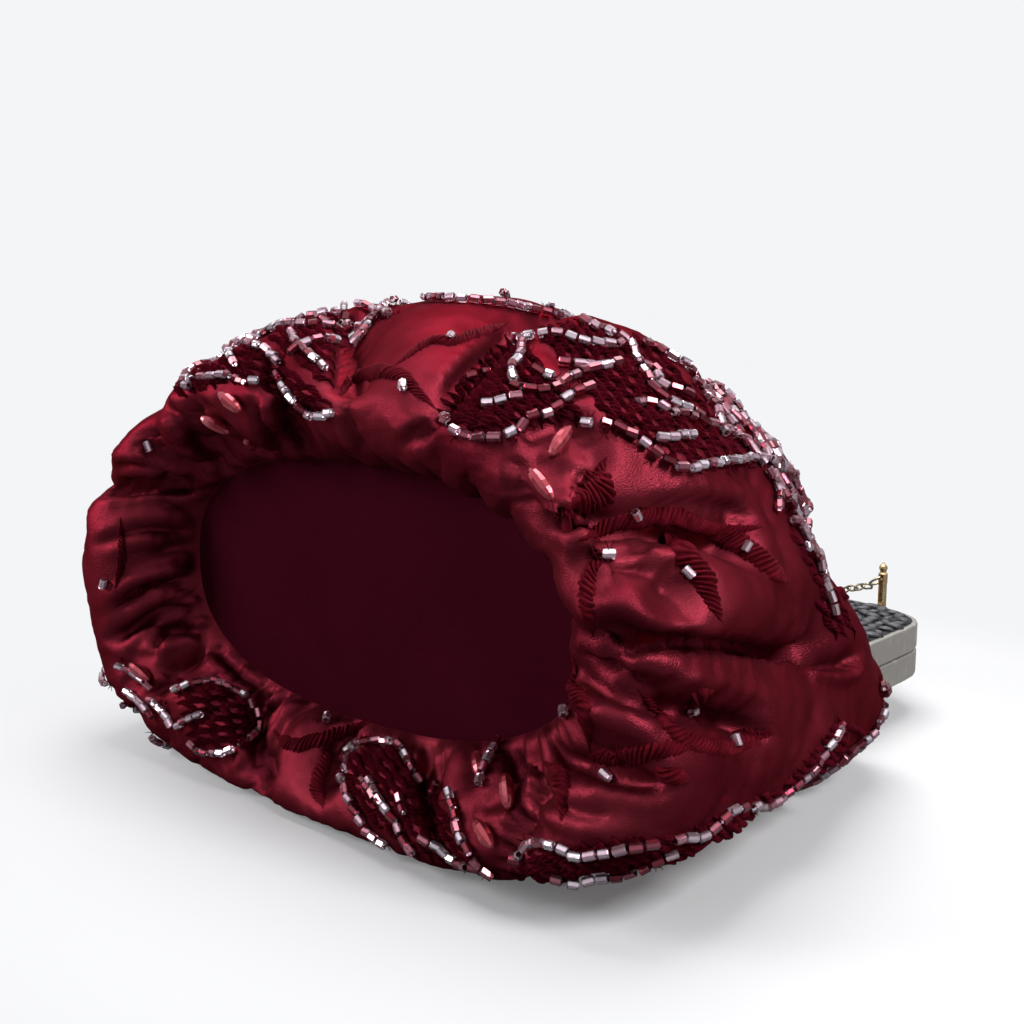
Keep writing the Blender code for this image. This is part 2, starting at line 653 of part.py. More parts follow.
def make_ornament(name, hinge, side):
    """A cast plate of paired leaves and berries, set in the recess of the face."""
    face = TRAY_DEPTH - FACE_RECESS + CLEARANCE
    top = face + PLATE_THICKNESS
    outline = arch_outline(LIP_WIDTH + CLEARANCE, FACE_START)
    plate = make_object(name, flip(prism_mesh(name, outline, face, top), side), hinge, silver)
    window = prism_mesh(name + "_window", window_outline(-EAR_RADIUS, -PLATE_INNER_LIP),
                        0.0, 2 * TRAY_DEPTH)
    combine(plate, make_object(name + "_window", flip(window, side), hinge))
    bm = bmesh.new()
    spread = BAND_WIDTH * MOTIF_SPREAD_SHARE
    for x, y, heading in band_path():
        across = Vector((-math.sin(heading), math.cos(heading), 0))
        motif = [(1, LEAF_LENGTH, LEAF_WIDTH), (-1, LEAF_LENGTH, LEAF_WIDTH),
                 (0, BERRY_RADIUS, BERRY_RADIUS)]
        for way, length, width in motif:
            centre = Vector((x, y, top)) + across * spread * way
            lump = bmesh.ops.create_uvsphere(bm, u_segments=8, v_segments=4, radius=1.0)["verts"]
            shape = (Matrix.Translation(centre) @ Matrix.Rotation(heading + way * LEAF_TURN, 4, "Z")
                     @ Matrix.Diagonal((length / 2, width / 2, LEAF_HEIGHT, 1)))
            if way == 0:
                shape = Matrix.Translation(centre) @ Matrix.Diagonal((length, width, LEAF_HEIGHT, 1))
            bmesh.ops.transform(bm, matrix=shape, verts=lump)
    relief = make_object(name + "_relief", flip(mesh_from(bm, name + "_relief"), side), hinge)
    combine(plate, relief, "UNION")
    back = box_mesh(name + "_back", (-FRAME_HALF_WIDTH, -EAR_RADIUS, 0.0),
                    (FRAME_HALF_WIDTH, ARCH_STATION, face))
    combine(plate, make_object(name + "_back", flip(back, side), hinge))


def make_satin_panel(name, hinge, side):
    """The satin that closes a tray's window, glued behind the band."""
    top = TRAY_DEPTH - FACE_RECESS - FACE_THICKNESS - CLEARANCE
    outline = window_outline(SATIN_PANEL_START, PANEL_MARGIN)
    mesh = prism_mesh(name, outline, top - SATIN_PANEL_THICKNESS, top)
    make_object(name, flip(mesh, side), hinge, satin)


def make_knob(name, hinge, tray, side):
    """A ball on a leaning stem. The two balls pass each other side by side over the arch."""
    x = -side * KNOB_OFFSET
    arch = ARM_LENGTH + ARCH_RISE
    root = Vector((x, arch + CLEARANCE, side * KNOB_ROOT_HEIGHT))
    collar_end = root + Vector((0, KNOB_COLLAR_THICKNESS, 0))
    centre = Vector((x, arch + KNOB_REACH, 0))
    bm = bmesh.new()
    bmesh.ops.create_uvsphere(bm, u_segments=16, v_segments=10, radius=KNOB_RADIUS)
    bmesh.ops.translate(bm, vec=centre, verts=bm.verts)
    knob = make_object(name, mesh_from(bm, name), hinge, gilt)
    inside = root - Vector((0, KNOB_SHANK_LENGTH, 0))
    for part, radius, start, end in (
            ("stem", KNOB_STEM_RADIUS, collar_end.lerp(root, 0.5), centre),
            ("collar", KNOB_COLLAR_RADIUS, root, collar_end),
            ("shank", KNOB_SHANK_RADIUS, inside, collar_end.lerp(root, 0.5))):
        mesh = rod_mesh(name + "_" + part, radius, start, end, sides=16)
        combine(knob, make_object(name + "_" + part, mesh, hinge), "UNION")
    bore = rod_mesh(name + "_bore", KNOB_SHANK_RADIUS + CLEARANCE, inside, collar_end, sides=16)
    combine(tray, make_object(name + "_bore", bore, hinge))


def make_post(name, ring_name, hand):
    """A turned post with a drilled eye, riveted into a boss behind the arch, and its ring."""
    x = hand * POST_PLACE
    y = arch_reach(POST_PLACE) + POST_STAND_OFF
    boss_low = -(TRAY_DEPTH - RIM_ROUNDING)
    boss = rod_mesh(name + "_boss", BOSS_RADIUS, (x, y, boss_low), (x, y, -BOSS_TOP))
    combine(back_frame, make_object(name + "_boss", boss, back_hinge), "UNION")
    seat = CLEARANCE - BOSS_TOP
    bore = rod_mesh(name + "_bore", POST_SHANK_HOLE, (x, y, seat - POST_SHANK_LENGTH - CLEARANCE),
                    (x, y, TRAY_DEPTH), sides=16)
    combine(back_frame, make_object(name + "_bore", bore, back_hinge))
    eye = POST_EYE_HEIGHT
    eye_low, eye_high = eye - POST_EYE_REACH, eye + POST_EYE_REACH
    finial = eye_high + FINIAL_RADIUS
    collar_top = seat + POST_COLLAR_THICKNESS
    profile = [
        (0, finial + FINIAL_RADIUS + FINIAL_TIP),
        (FINIAL_RADIUS * 0.35, finial + FINIAL_RADIUS),
        (FINIAL_RADIUS * 0.85, finial + FINIAL_RADIUS * 0.55), (FINIAL_RADIUS, finial),
        (FINIAL_RADIUS * 0.8, finial - FINIAL_RADIUS * 0.6), (POST_WAIST_RADIUS, eye_high),
        (POST_EYE_RADIUS, eye_high - POST_EYE_REACH / 3), (POST_EYE_RADIUS, eye),
        (POST_EYE_RADIUS, eye_low), (POST_RADIUS, eye_low - POST_RADIUS / 2),
        (POST_RADIUS, collar_top), (POST_COLLAR_RADIUS, collar_top),
        (POST_COLLAR_RADIUS, seat), (POST_SHANK_RADIUS, seat),
        (POST_SHANK_RADIUS, seat - POST_SHANK_LENGTH), (0, seat - POST_SHANK_LENGTH)]
    post = turned(name, profile, back_hinge, gilt, (x, y, 0))
    turn = math.radians(EYE_TURN)
    through = Vector((hand * math.sin(turn), math.cos(turn), 0))
    centre = Vector((x, y, eye))
    reach = through * 2 * POST_EYE_RADIUS
    hole = rod_mesh(name + "_eye", POST_EYE_HOLE, centre - reach, centre + reach, sides=16)
    combine(post, make_object(name + "_eye", hole, back_hinge))
    level = Vector((-hand * math.cos(turn), math.sin(turn), 0))
    drop = math.radians(RING_HANG)
    hang = level * math.cos(drop) - Vector((0, 0, math.sin(drop)))
    make_ring(ring_name, centre + hang * (RING_RADIUS - RING_RIDE), hang, through)


def make_ring(name, centre, hang, through):
    """A wire ring whose nearest turn passes through the eye and which hangs clear of the post."""
    bm = bmesh.new()
    turn = Matrix.Translation((RING_RADIUS, 0, 0)) @ Matrix.Rotation(math.radians(90), 4, "X")
    bmesh.ops.create_circle(bm, segments=8, radius=RING_WIRE, matrix=turn)
    bmesh.ops.spin(bm, geom=bm.verts[:] + bm.edges[:], cent=(0, 0, 0), axis=(0, 0, 1),
                   angle=2 * math.pi, steps=28, use_merge=True)
    bmesh.ops.remove_doubles(bm, verts=bm.verts, dist=RING_WIRE / 100)
    bmesh.ops.recalc_face_normals(bm, faces=bm.faces)
    ring = make_object(name, mesh_from(bm, name), back_hinge, brass, centre)
    ring.rotation_euler = Matrix((hang, through, hang.cross(through))).transposed().to_euler()


def smooth_route(points, steps):
    """Points read from a smooth curve through a route's own points."""
    points = [Vector(p) for p in points]
    route = []
    for i in range(len(points) - 1):
        a, b = points[i], points[i + 1]
        before, after = points[max(i - 1, 0)], points[min(i + 2, len(points) - 1)]
        for j in range(steps):
            t = j / steps
            route.append(0.5 * (2 * a + (b - before) * t + (2 * before - 5 * a + 4 * b - after)
                                * t ** 2 + (3 * a - before - 3 * b + after) * t ** 3))
    return route + [points[-1]]


def make_chain():
    """The space that the links take, from one post ring to the other."""
    curve = bpy.data.curves.new("carry_chain", "CURVE")
    curve.dimensions = "3D"
    curve.bevel_depth = CHAIN_RADIUS
    curve.bevel_resolution = 2
    curve.use_fill_caps = True
    route = smooth_route(CHAIN_ROUTE, 2)
    spline = curve.splines.new("POLY")
    spline.points.add(len(route) - 1)
    for point, place in zip(spline.points, route):
        point.co = (*place, 1.0)
    guide = bpy.data.objects.new("carry_chain", curve)
    parts.objects.link(guide)
    make_object("carry_chain", mesh_of_curve(guide), base, brass)


def skin_place(place_share, turn_share):
    """A point on the outside of the satin, with the directions out and along the profile."""
    rows = body_sections()
    at = place_share * (len(rows) - 3)
    i = min(int(at), len(rows) - 2)
    angle = 2 * math.pi * turn_share

    def on_row(k, turn):
        return folded_point(rows, k, turn)

    point = on_row(i, angle).lerp(on_row(i + 1, angle), at - i)
    along = (on_row(i + 1, angle) - on_row(i, angle)).normalized()
    step = math.pi / BODY_SIDES
    round_it = (on_row(i, angle + step) - on_row(i, angle - step)).normalized()
    return point, along, round_it, along.cross(round_it).normalized()


def make_pearls():
    for number, (place, turn, spin_share) in enumerate(PEARL_PLACE_SHARES, start=1):
        point, along, round_it, out = skin_place(place, turn)
        bm = bmesh.new()
        bmesh.ops.create_uvsphere(bm, u_segments=10, v_segments=8, radius=1.0)
        bmesh.ops.scale(bm, vec=(PEARL_RADIUS, PEARL_RADIUS, PEARL_HALF_LENGTH), verts=bm.verts)
        a = math.pi * spin_share
        heading = along * math.cos(a) + round_it * math.sin(a)
        side = out.cross(heading).normalized()
        turn_to = Matrix((side, heading.cross(side), heading)).transposed()
        name = f"rice_pearl_{number:02d}"
        pearl = make_object(name, mesh_from(bm, name), base, pearl_pink)
        pearl.location = point + out * (PEARL_RADIUS + PEARL_SEAT)
        pearl.rotation_euler = turn_to.to_euler()


clear_scene()
parts = make_collection("beaded_evening_bag")
cutters = make_collection("cutters")

satin = make_material("wine_satin", (0.16, 0.012, 0.024), 0.36)
lining_cloth = make_material("lining_satin", (0.11, 0.010, 0.020), 0.45)
panel_cloth = make_material("panel_cloth", (0.030, 0.003, 0.010), 0.75)
board_card = make_material("board_card", (0.35, 0.29, 0.22), 0.9)
pewter = make_material("satin_pewter", (0.56, 0.53, 0.48), 0.33, 1.0)
silver = make_material("aged_silver", (0.38, 0.38, 0.38), 0.38, 1.0)
gilt = make_material("pale_gilt", (0.72, 0.55, 0.28), 0.28, 1.0)
brass = make_material("aged_brass", (0.42, 0.31, 0.16), 0.4, 1.0)
pearl_pink = make_material("rose_pearl", (0.62, 0.16, 0.18), 0.22)

base = make_empty("base_plane", (0, BASE_PLANE_Y, 0))
back_hinge = make_empty("back_hinge", (0, HINGE_STATION, PARTING_HEIGHT), base)
front_hinge = make_empty("front_hinge", (0, HINGE_STATION, PARTING_HEIGHT), base)

make_satin_body()
make_lining()
make_base()
back_frame = make_tray("back_frame", back_hinge, -1)
front_frame = make_tray("front_frame", front_hinge, 1)
make_rivets()
make_ornament("back_ornament", back_hinge, -1)
make_ornament("front_ornament", front_hinge, 1)
make_satin_panel("back_satin_panel", back_hinge, -1)
make_satin_panel("front_satin_panel", front_hinge, 1)
make_knob("back_clasp_knob", back_hinge, back_frame, -1)
make_knob("front_clasp_knob", front_hinge, front_frame, 1)
make_post("left_strap_post", "left_post_ring", -1)
make_post("right_strap_post", "right_post_ring", 1)
make_chain()
make_pearls()
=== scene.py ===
# %% [markdown]
# # Beaded satin evening bag, lying on its back
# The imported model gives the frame. Everything below is placed in its coordinates, in metres:
# X along the bag, Y from the oval base to the snap frame, Z up from the table.

# %% Load the frame
import json
import math
import random
import time

import bmesh
import bpy
import numpy as np
from mathutils import Matrix, Vector
from mathutils.bvhtree import BVHTree
from mathutils.kdtree import KDTree


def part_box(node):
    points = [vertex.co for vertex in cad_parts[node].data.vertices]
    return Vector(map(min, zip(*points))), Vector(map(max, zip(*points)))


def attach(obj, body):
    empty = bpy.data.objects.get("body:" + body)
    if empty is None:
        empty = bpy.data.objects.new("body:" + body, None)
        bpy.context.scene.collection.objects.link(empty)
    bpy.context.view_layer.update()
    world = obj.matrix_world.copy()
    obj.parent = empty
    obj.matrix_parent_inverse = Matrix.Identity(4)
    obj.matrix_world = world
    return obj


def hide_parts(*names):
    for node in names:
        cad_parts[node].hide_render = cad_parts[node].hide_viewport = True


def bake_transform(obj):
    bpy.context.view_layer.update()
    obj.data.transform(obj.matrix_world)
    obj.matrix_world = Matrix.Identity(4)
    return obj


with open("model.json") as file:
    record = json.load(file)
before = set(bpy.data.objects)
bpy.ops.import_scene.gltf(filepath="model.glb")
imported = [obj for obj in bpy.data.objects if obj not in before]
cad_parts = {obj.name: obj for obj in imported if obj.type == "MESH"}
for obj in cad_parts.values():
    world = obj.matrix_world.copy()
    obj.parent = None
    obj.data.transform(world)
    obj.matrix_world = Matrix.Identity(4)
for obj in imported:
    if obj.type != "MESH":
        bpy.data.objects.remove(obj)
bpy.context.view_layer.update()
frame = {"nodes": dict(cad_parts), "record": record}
clock = time.time()
scene = bpy.context.scene

# %% [markdown]
# ## Camera
# The picture was matched by laying the base oval, the frame and the post over the photograph.

# %% Camera
CAMERA_PLACE = Vector((0.20039, -0.25324, 0.10593))
CAMERA_TURN = (math.radians(81.7), 0.0, math.radians(41.8))
LENS, SENSOR, PICTURE = 42.1875, 36.0, 1024
camera_data = bpy.data.cameras.new("camera")
camera_data.lens, camera_data.sensor_width = LENS, SENSOR
camera_data.clip_start = 0.01
camera = bpy.data.objects.new("camera", camera_data)
camera.location, camera.rotation_euler = CAMERA_PLACE, CAMERA_TURN
scene.collection.objects.link(camera)
scene.camera = camera
bpy.context.view_layer.update()
LOOK = camera.matrix_world.to_3x3()
FOCAL = LENS / SENSOR * PICTURE


def sight(px, py):
    """The direction in which the camera sees a place in the picture."""
    across, down = (px - PICTURE / 2) / FOCAL, (py - PICTURE / 2) / FOCAL
    return (LOOK @ Vector((across, -down, -1.0))).normalized()


# %% Shared helpers
def new_object(name, mesh, material, body=None, nodes=()):
    piece = bpy.data.objects.new(name, mesh)
    scene.collection.objects.link(piece)
    if material:
        mesh.materials.append(material)
    if body:
        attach(piece, body)
    if nodes:
        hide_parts(*nodes)
    return piece


def to_mesh(bm, name, smooth=False):
    """The finished mesh of a bmesh, which is freed."""
    mesh = bpy.data.meshes.new(name)
    bm.to_mesh(mesh)
    bm.free()
    if smooth:
        mesh.shade_smooth()
    return mesh


def mix(a, b, share):
    return a + (b - a) * share


def power(value, exponent):
    return np.sign(value) * np.abs(value) ** exponent


def rounded(points, between=24):
    """Points close together on the smooth curve that runs through the given ones."""
    ends = np.vstack([2 * points[0] - points[1], points, 2 * points[-1] - points[-2]])
    found = []
    for i in range(1, len(ends) - 2):
        a, b, c, d = ends[i - 1:i + 3]
        for t in np.linspace(0, 1, between, endpoint=False):
            found.append(0.5 * (2 * b + (c - a) * t + (2 * a - 5 * b + 4 * c - d) * t ** 2
                                + (3 * b - a - 3 * c + d) * t ** 3))
    return np.array(found + [points[-1]])


def smooth_path(points, step):
    """Points about a step apart along a smooth curve through the given ones."""
    P = np.array([tuple(p) for p in points], float)
    if len(P) < 3:
        count = max(int(np.linalg.norm(P[-1] - P[0]) / step), 1)
        return [Vector(P[0] + (P[-1] - P[0]) * i / count) for i in range(count + 1)]
    fine = rounded(P)
    run = np.concatenate([[0], np.cumsum(np.linalg.norm(np.diff(fine, axis=0), axis=1))])
    count = max(int(run[-1] / step), 1)
    at = np.linspace(0, run[-1], count + 1)
    return [Vector([np.interp(s, run, fine[:, k]) for k in range(3)]) for s in at]


# %% [markdown]
# ## The satin
# The real body is a tube of satin, cut much wider than the base and the frame, gathered into
# both and sewn through to the lining along the lines of the embroidery. The cloth stands out
# between the stitched lines, and that is how it is made here.

# %% Smooth outline of the body
BASE_PLANE = -0.08005
BASE_HALF_LENGTH, BASE_HALF_WIDTH, BASE_HEIGHT = 0.065, 0.0305, 0.050
BODY_HALF_LENGTH, BODY_WAIST, BODY_CROWN, BODY_BELLY = 0.097, 0.0455, 0.067, 0.0475
FRONT_ROLL, NECK_STATION, NECK_LENGTH = 0.018, 0.1045, 0.0085
NECK_HALF_LENGTH, NECK_HALF_HEIGHT, PARTING = 0.0622, 0.0058, 0.0185
# How square a section is: 2 is an ellipse, and more comes nearer to a box
BASE_POWER, CROWN_POWER, BELLY_POWER, NECK_POWER = 2.4, 2.05, 3.3, 3.0
# Shares of the way from the panel to the full body: forward, length, waist, crown, belly
ROLL_SHARES = [
    (-0.09, -0.07, 0.00, -0.05, -0.07), (0.03, -0.01, 0.00, -0.01, -0.01),
    (0.16, 0.02, 0.00, 0.01, 0.03), (0.40, 0.08, 0.00, 0.07, 0.15),
    (0.76, 0.19, 0.10, 0.16, 0.38), (0.98, 0.41, 0.30, 0.32, 0.70),
    (1.00, 0.63, 0.52, 0.48, 0.94), (0.72, 0.84, 0.75, 0.64, 1.00),
    (0.11, 0.97, 0.88, 0.82, 1.00),
]
# Station along the body, then the shares of the full body that are left at it
DRAPE_SHARES = [
    (0.134, 1.000, 1.000, 0.968, 0.988), (0.325, 0.972, 0.963, 1.000, 0.964),
    (0.517, 0.916, 0.870, 0.919, 0.905), (0.689, 0.804, 0.704, 0.765, 0.787),
    (0.833, 0.636, 0.519, 0.522, 0.665), (0.938, 0.440, 0.333, 0.303, 0.555),
    (0.984, 0.188, 0.130, 0.117, 0.300),
]
outline_rows = []
for forward, length, waist, crown, belly in ROLL_SHARES:
    outline_rows.append((-FRONT_ROLL * forward, mix(BASE_HALF_LENGTH, BODY_HALF_LENGTH, length),
                         mix(BASE_HEIGHT, BODY_WAIST, waist),
                         mix(BASE_HALF_WIDTH, BODY_CROWN, crown),
                         mix(BASE_HALF_WIDTH, BODY_BELLY, belly),
                         mix(BASE_POWER, CROWN_POWER, length),
                         mix(BASE_POWER, BELLY_POWER, length)))
for station, length, waist, crown, belly in DRAPE_SHARES:
    squarer = (1 - length) ** 4
    outline_rows.append((NECK_STATION * station, mix(NECK_HALF_LENGTH, BODY_HALF_LENGTH, length),
                         mix(PARTING, BODY_WAIST, waist), mix(NECK_HALF_HEIGHT, BODY_CROWN, crown),
                         mix(NECK_HALF_HEIGHT, BODY_BELLY, belly),
                         mix(CROWN_POWER, NECK_POWER, squarer),
                         mix(BELLY_POWER, NECK_POWER, squarer)))
for station in (NECK_STATION, NECK_STATION + NECK_LENGTH):
    outline_rows.append((station, NECK_HALF_LENGTH, PARTING, NECK_HALF_HEIGHT, NECK_HALF_HEIGHT,
                         NECK_POWER, NECK_POWER))
outline_rows = np.array(outline_rows)


def section_ring(row, count):
    """Points evenly spaced round one section, from its right end over the top."""
    station, half, waist, crown, belly, crown_n, belly_n = row
    a = np.linspace(0, 2 * np.pi, 1441)
    c, s = np.cos(a), np.sin(a)
    n = np.where(s >= 0, crown_n, belly_n)
    x = half * power(c, 2 / n)
    z = waist + np.where(s >= 0, crown, belly) * power(s, 2 / n)
    z = np.maximum(z, 0.0)
    run = np.concatenate([[0], np.cumsum(np.hypot(np.diff(x), np.diff(z)))])
    at = np.linspace(0, run[-1], count, endpoint=False)
    return np.stack([np.interp(at, run, x), np.full(count, station + BASE_PLANE),
                     np.interp(at, run, z)], 1), run[-1]


def curve_rows(rows, count):
    """The rows of the outline read from a smooth curve, evenly spaced along the profile."""
    fine = rounded(rows)
    steps = (np.hypot(np.diff(fine[:, 0]), np.diff(fine[:, 1]))
             + np.hypot(np.diff(fine[:, 0]), np.diff(fine[:, 2] + fine[:, 3]))
             + np.hypot(np.diff(fine[:, 0]), np.diff(fine[:, 2] - fine[:, 4]))) / 3
    run = np.concatenate([[0], np.cumsum(steps)])
    at = np.linspace(0, run[-1], count)
    return np.stack([np.interp(at, run, fine[:, k]) for k in range(fine.shape[1])], 1), run[-1]


COLUMNS, ROWS = 240, 92
rows, profile_length = curve_rows(outline_rows, ROWS)
rings = [section_ring(row, COLUMNS) for row in rows]
skin = np.array([ring for ring, _ in rings])
perimeters = np.array([length for _, length in rings])
print("profile", round(profile_length, 4), "perimeters", round(perimeters[0], 3),
      round(perimeters.max(), 3), round(perimeters[-1], 3))


def tube_mesh(name, grid):
    """A grid of points as a tube: a flat grid, moved to the points and closed along its side."""
    count_rows, count_columns = grid.shape[:2]
    bm = bmesh.new()
    bmesh.ops.create_grid(bm, x_segments=count_columns, y_segments=count_rows - 1, size=1.0,
                          calc_uvs=True)
    bm.verts.ensure_lookup_table()
    uv = bm.loops.layers.uv.verify()
    column = {}
    for v in bm.verts:
        c = round((v.co.x + 1) / 2 * count_columns)
        r = round((v.co.y + 1) / 2 * (count_rows - 1))
        column[v.index] = (r, c)
    for v in bm.verts:
        r, c = column[v.index]
        v.co = grid[r, c % count_columns]
    for face in bm.faces:
        for loop in face.loops:
            r, c = column[loop.vert.index]
            loop[uv].uv = (c / count_columns, r / (count_rows - 1))
    bmesh.ops.remove_doubles(bm, verts=bm.verts, dist=1e-7)
    bmesh.ops.recalc_face_normals(bm, faces=bm.faces)
    return to_mesh(bm, name)


def grid_normals(grid):
    """Outward directions at the points of a tube grid."""
    along = np.gradient(grid, axis=0)
    round_ = np.roll(grid, -1, axis=1) - np.roll(grid, 1, axis=1)
    out = np.cross(round_, along)
    out /= np.linalg.norm(out, axis=2, keepdims=True) + 1e-12
    middle = grid.mean(axis=1, keepdims=True)
    if np.sum((grid - middle) * out) < 0:
        out = -out
    return out


def bvh_of(grid):
    """A search tree over the tube grid."""
    r, c = grid.shape[:2]
    verts = [tuple(p) for p in grid.reshape(-1, 3)]
    faces = [(i * c + j, i * c + (j + 1) % c, (i + 1) * c + (j + 1) % c, (i + 1) * c + j)
             for i in range(r - 1) for j in range(c)]
    return BVHTree.FromPolygons(verts, faces)


skin_tree = bvh_of(skin)


def on_skin(pixels, tree=skin_tree, every=3.0):
    """A line in the picture as points on the body, with their outward directions."""
    P = np.array(pixels, float)
    fine = smooth_path([(x, y, 0) for x, y in P], every)
    found = []
    for p in fine:
        hit, normal, _, _ = tree.ray_cast(CAMERA_PLACE, sight(p.x, p.y))
        if hit is not None:
            if normal.dot(hit - CAMERA_PLACE) > 0:
                normal = -normal
            found.append((hit, normal))
    return found


# %% [markdown]
# ## Where the body is sewn
# On the real bag the beads are threaded in strands that outline leaves and stems, and every strand
# and every line of stitches also holds the satin down to the lining. The lines could be a pattern
# wrapped round the body, but then they would not lie where the photograph shows them. So each is
# given by a few places in the picture, and a ray from the camera finds where it lies on the body.
# The sides that the picture doesn't show get lines and patches of the same kind, by chance draws.

# %% Bead strands, as places in the picture
STRANDS = {
    "A": [(436, 417), (471, 436), (506, 436), (526, 420), (551, 410), (573, 398), (596, 390)],
    "B": [(583, 423), (609, 426), (634, 439), (660, 458), (685, 468), (707, 463), (733, 460),
          (762, 461)],
    "C": [(516, 343), (554, 337), (583, 345), (609, 348), (621, 346)],
    "D": [(580, 321), (596, 331), (612, 337), (628, 346), (637, 366), (653, 372), (660, 388),
          (679, 394), (695, 401)],
    "E": [(557, 366), (573, 367), (599, 370), (621, 366)],
    "F": [(510, 388), (526, 393), (551, 393), (570, 382), (589, 374), (618, 369)],
    "G": [(481, 409), (506, 404), (535, 398)],
    "H": [(634, 407), (650, 407), (669, 417), (685, 418), (704, 426), (726, 433), (746, 444),
          (762, 458)],
    "I": [(653, 441), (676, 439), (698, 436)],
    "J": [(768, 471), (776, 493), (773, 519)],
    "K": [(787, 522), (809, 525), (813, 547), (819, 576), (829, 602), (833, 624)],
    "L": [(840, 723), (822, 748), (806, 770), (787, 786), (765, 802), (733, 807), (704, 831),
          (685, 834),
          (653, 841), (621, 847), (596, 852), (577, 853), (557, 844), (535, 845), (519, 860),
          (503, 857)],
    "M": [(551, 874), (570, 877), (589, 879), (609, 874), (628, 868), (647, 860), (666, 852),
          (682, 844)],
    "N1": [(344, 767), (347, 751), (363, 745), (382, 743), (398, 750), (408, 764), (414, 780),
           (423, 798)],
    "N2": [(344, 767), (349, 796), (360, 815), (372, 831), (392, 844)],
    "N3": [(363, 780), (379, 799), (398, 821), (411, 844), (427, 857)],
    "N4": [(451, 790), (459, 815), (462, 834), (474, 853), (484, 868), (500, 876)],
    "N5": [(401, 796), (411, 825)],
    "N6": [(443, 783), (433, 805)],
    "O1": [(175, 691), (197, 683), (219, 683), (242, 694), (254, 710), (254, 729), (242, 745),
           (223, 753),
           (200, 748), (188, 735)],
    "O2": [(178, 726), (197, 718), (216, 711)],
    "P": [(280, 372), (290, 388), (302, 404), (318, 413), (341, 413)],
    "Q": [(290, 334), (305, 353), (321, 369), (331, 382)],
    "R": [(184, 382), (207, 380), (229, 377), (242, 382), (264, 382)],
    "S": [(223, 345), (235, 362), (242, 375)],
    "T": [(500, 742), (487, 770), (481, 790)],
    "U1": [(362, 296), (400, 300), (440, 302), (480, 304), (520, 310), (556, 318), (580, 321)],
    "U2": [(350, 304), (372, 312), (392, 318)],
    "V1": [(640, 345), (664, 356), (690, 372), (706, 392), (722, 410), (744, 430), (760, 452),
           (768, 471)],
    "V2": [(690, 380), (712, 404), (738, 436), (764, 470), (786, 505), (806, 540), (820, 576)],
    "V3": [(765, 458), (782, 480), (800, 512), (816, 545)],
    "W1": [(262, 328), (285, 322), (310, 318), (338, 314)],
    "W2": [(206, 352), (222, 344), (246, 334), (262, 328)],
    "W3": [(170, 385), (186, 372), (204, 360)],
    "W4": [(245, 345), (268, 352), (284, 366), (280, 372)],
    "X1": [(530, 372), (548, 380), (566, 392)],
    "X2": [(640, 372), (652, 392), (668, 404), (690, 414), (710, 424)],
    "X3": [(466, 380), (480, 378), (492, 372)],
    "X4": [(524, 346), (522, 360), (512, 372), (516, 386)],
    "Y1": [(118, 664), (140, 676), (156, 690)],
    "Y2": [(150, 700), (166, 712), (176, 728)],
    "Y3": [(128, 690), (146, 706), (160, 722)],
    "Z1": [(418, 838), (440, 852), (462, 862), (484, 868)],
    "Z2": [(372, 780), (382, 800), (398, 818)],
}
print("strands", len(STRANDS))

# %% Stitched lines that hold the satin in, as places in the picture
VALLEYS = [
    (9.5, 6.5, [(548, 512), (575, 514), (605, 508), (661, 502), (713, 508), (757, 519)]),
    (8.0, 5.5, [(575, 566), (594, 558), (627, 549), (661, 545)]),
    (7.0, 7.0, [(688, 573)]),
    (6.0, 4.0, [(600, 640), (636, 649), (696, 651), (741, 658), (808, 669), (846, 669),
                (859, 656)]),
    (7.0, 5.0, [(578, 667), (618, 685), (665, 703), (678, 705)]),
    (7.0, 5.0, [(683, 716), (741, 725), (774, 734)]),
    (8.0, 6.0, [(547, 743), (585, 770), (614, 785)]),
    (8.0, 5.0, [(106, 489), (136, 495), (179, 492)]),
    (6.0, 5.0, [(189, 418), (209, 445), (230, 468)]),
    (6.0, 5.0, [(140, 436), (152, 459), (189, 470)]),
    (6.0, 5.0, [(267, 376), (290, 427), (301, 445)]),
    (6.0, 5.0, [(131, 627), (182, 617)]),
    (6.0, 5.0, [(285, 684), (258, 711), (255, 771)]),
    (6.0, 5.0, [(365, 721), (340, 741), (329, 764)]),
    (7.0, 5.0, [(442, 399), (474, 367), (495, 349), (513, 333), (575, 321)]),
    (7.0, 5.0, [(571, 448), (543, 487), (532, 505)]),
    (7.0, 5.0, [(350, 296), (344, 349), (341, 379)]),
    (6.0, 5.0, [(210, 640), (180, 660), (150, 680)]),
    (5.0, 5.0, [(430, 735), (425, 790), (440, 850)]),
    (5.0, 5.0, [(520, 745), (520, 800), (500, 850)]),
]
normals = grid_normals(skin)
depth = np.zeros(skin.shape[:2])
held = np.zeros(skin.shape[:2], bool)
flat_skin = skin.reshape(-1, 3)


def press(points, deep, wide):
    """Presses a valley of a depth and width in millimetres into the grid, and holds its bottom."""
    P = np.array([tuple(p) for p in points])
    d = np.full(len(flat_skin), 1.0)
    for p in P:
        gap = np.linalg.norm(flat_skin - p, axis=1)
        d = np.minimum(d, gap)
        held.reshape(-1)[np.argmin(gap)] = True
    dent = deep / 1000 * np.exp(-(d / (wide / 1000)) ** 2)
    np.maximum(depth, dent.reshape(depth.shape), out=depth)


for deep, wide, pixels in VALLEYS:
    if len(pixels) == 1:
        pixels = [pixels[0], (pixels[0][0] + 4, pixels[0][1])]
    press([p for p, _ in on_skin(pixels)], deep, wide)
for line in STRANDS.values():
    press([p for p, _ in on_skin(line, every=14.0)], 1.2, 4.0)
print("pressed in by", round(float(depth.max()) * 1000, 1), "mm, held points", int(held.sum()))

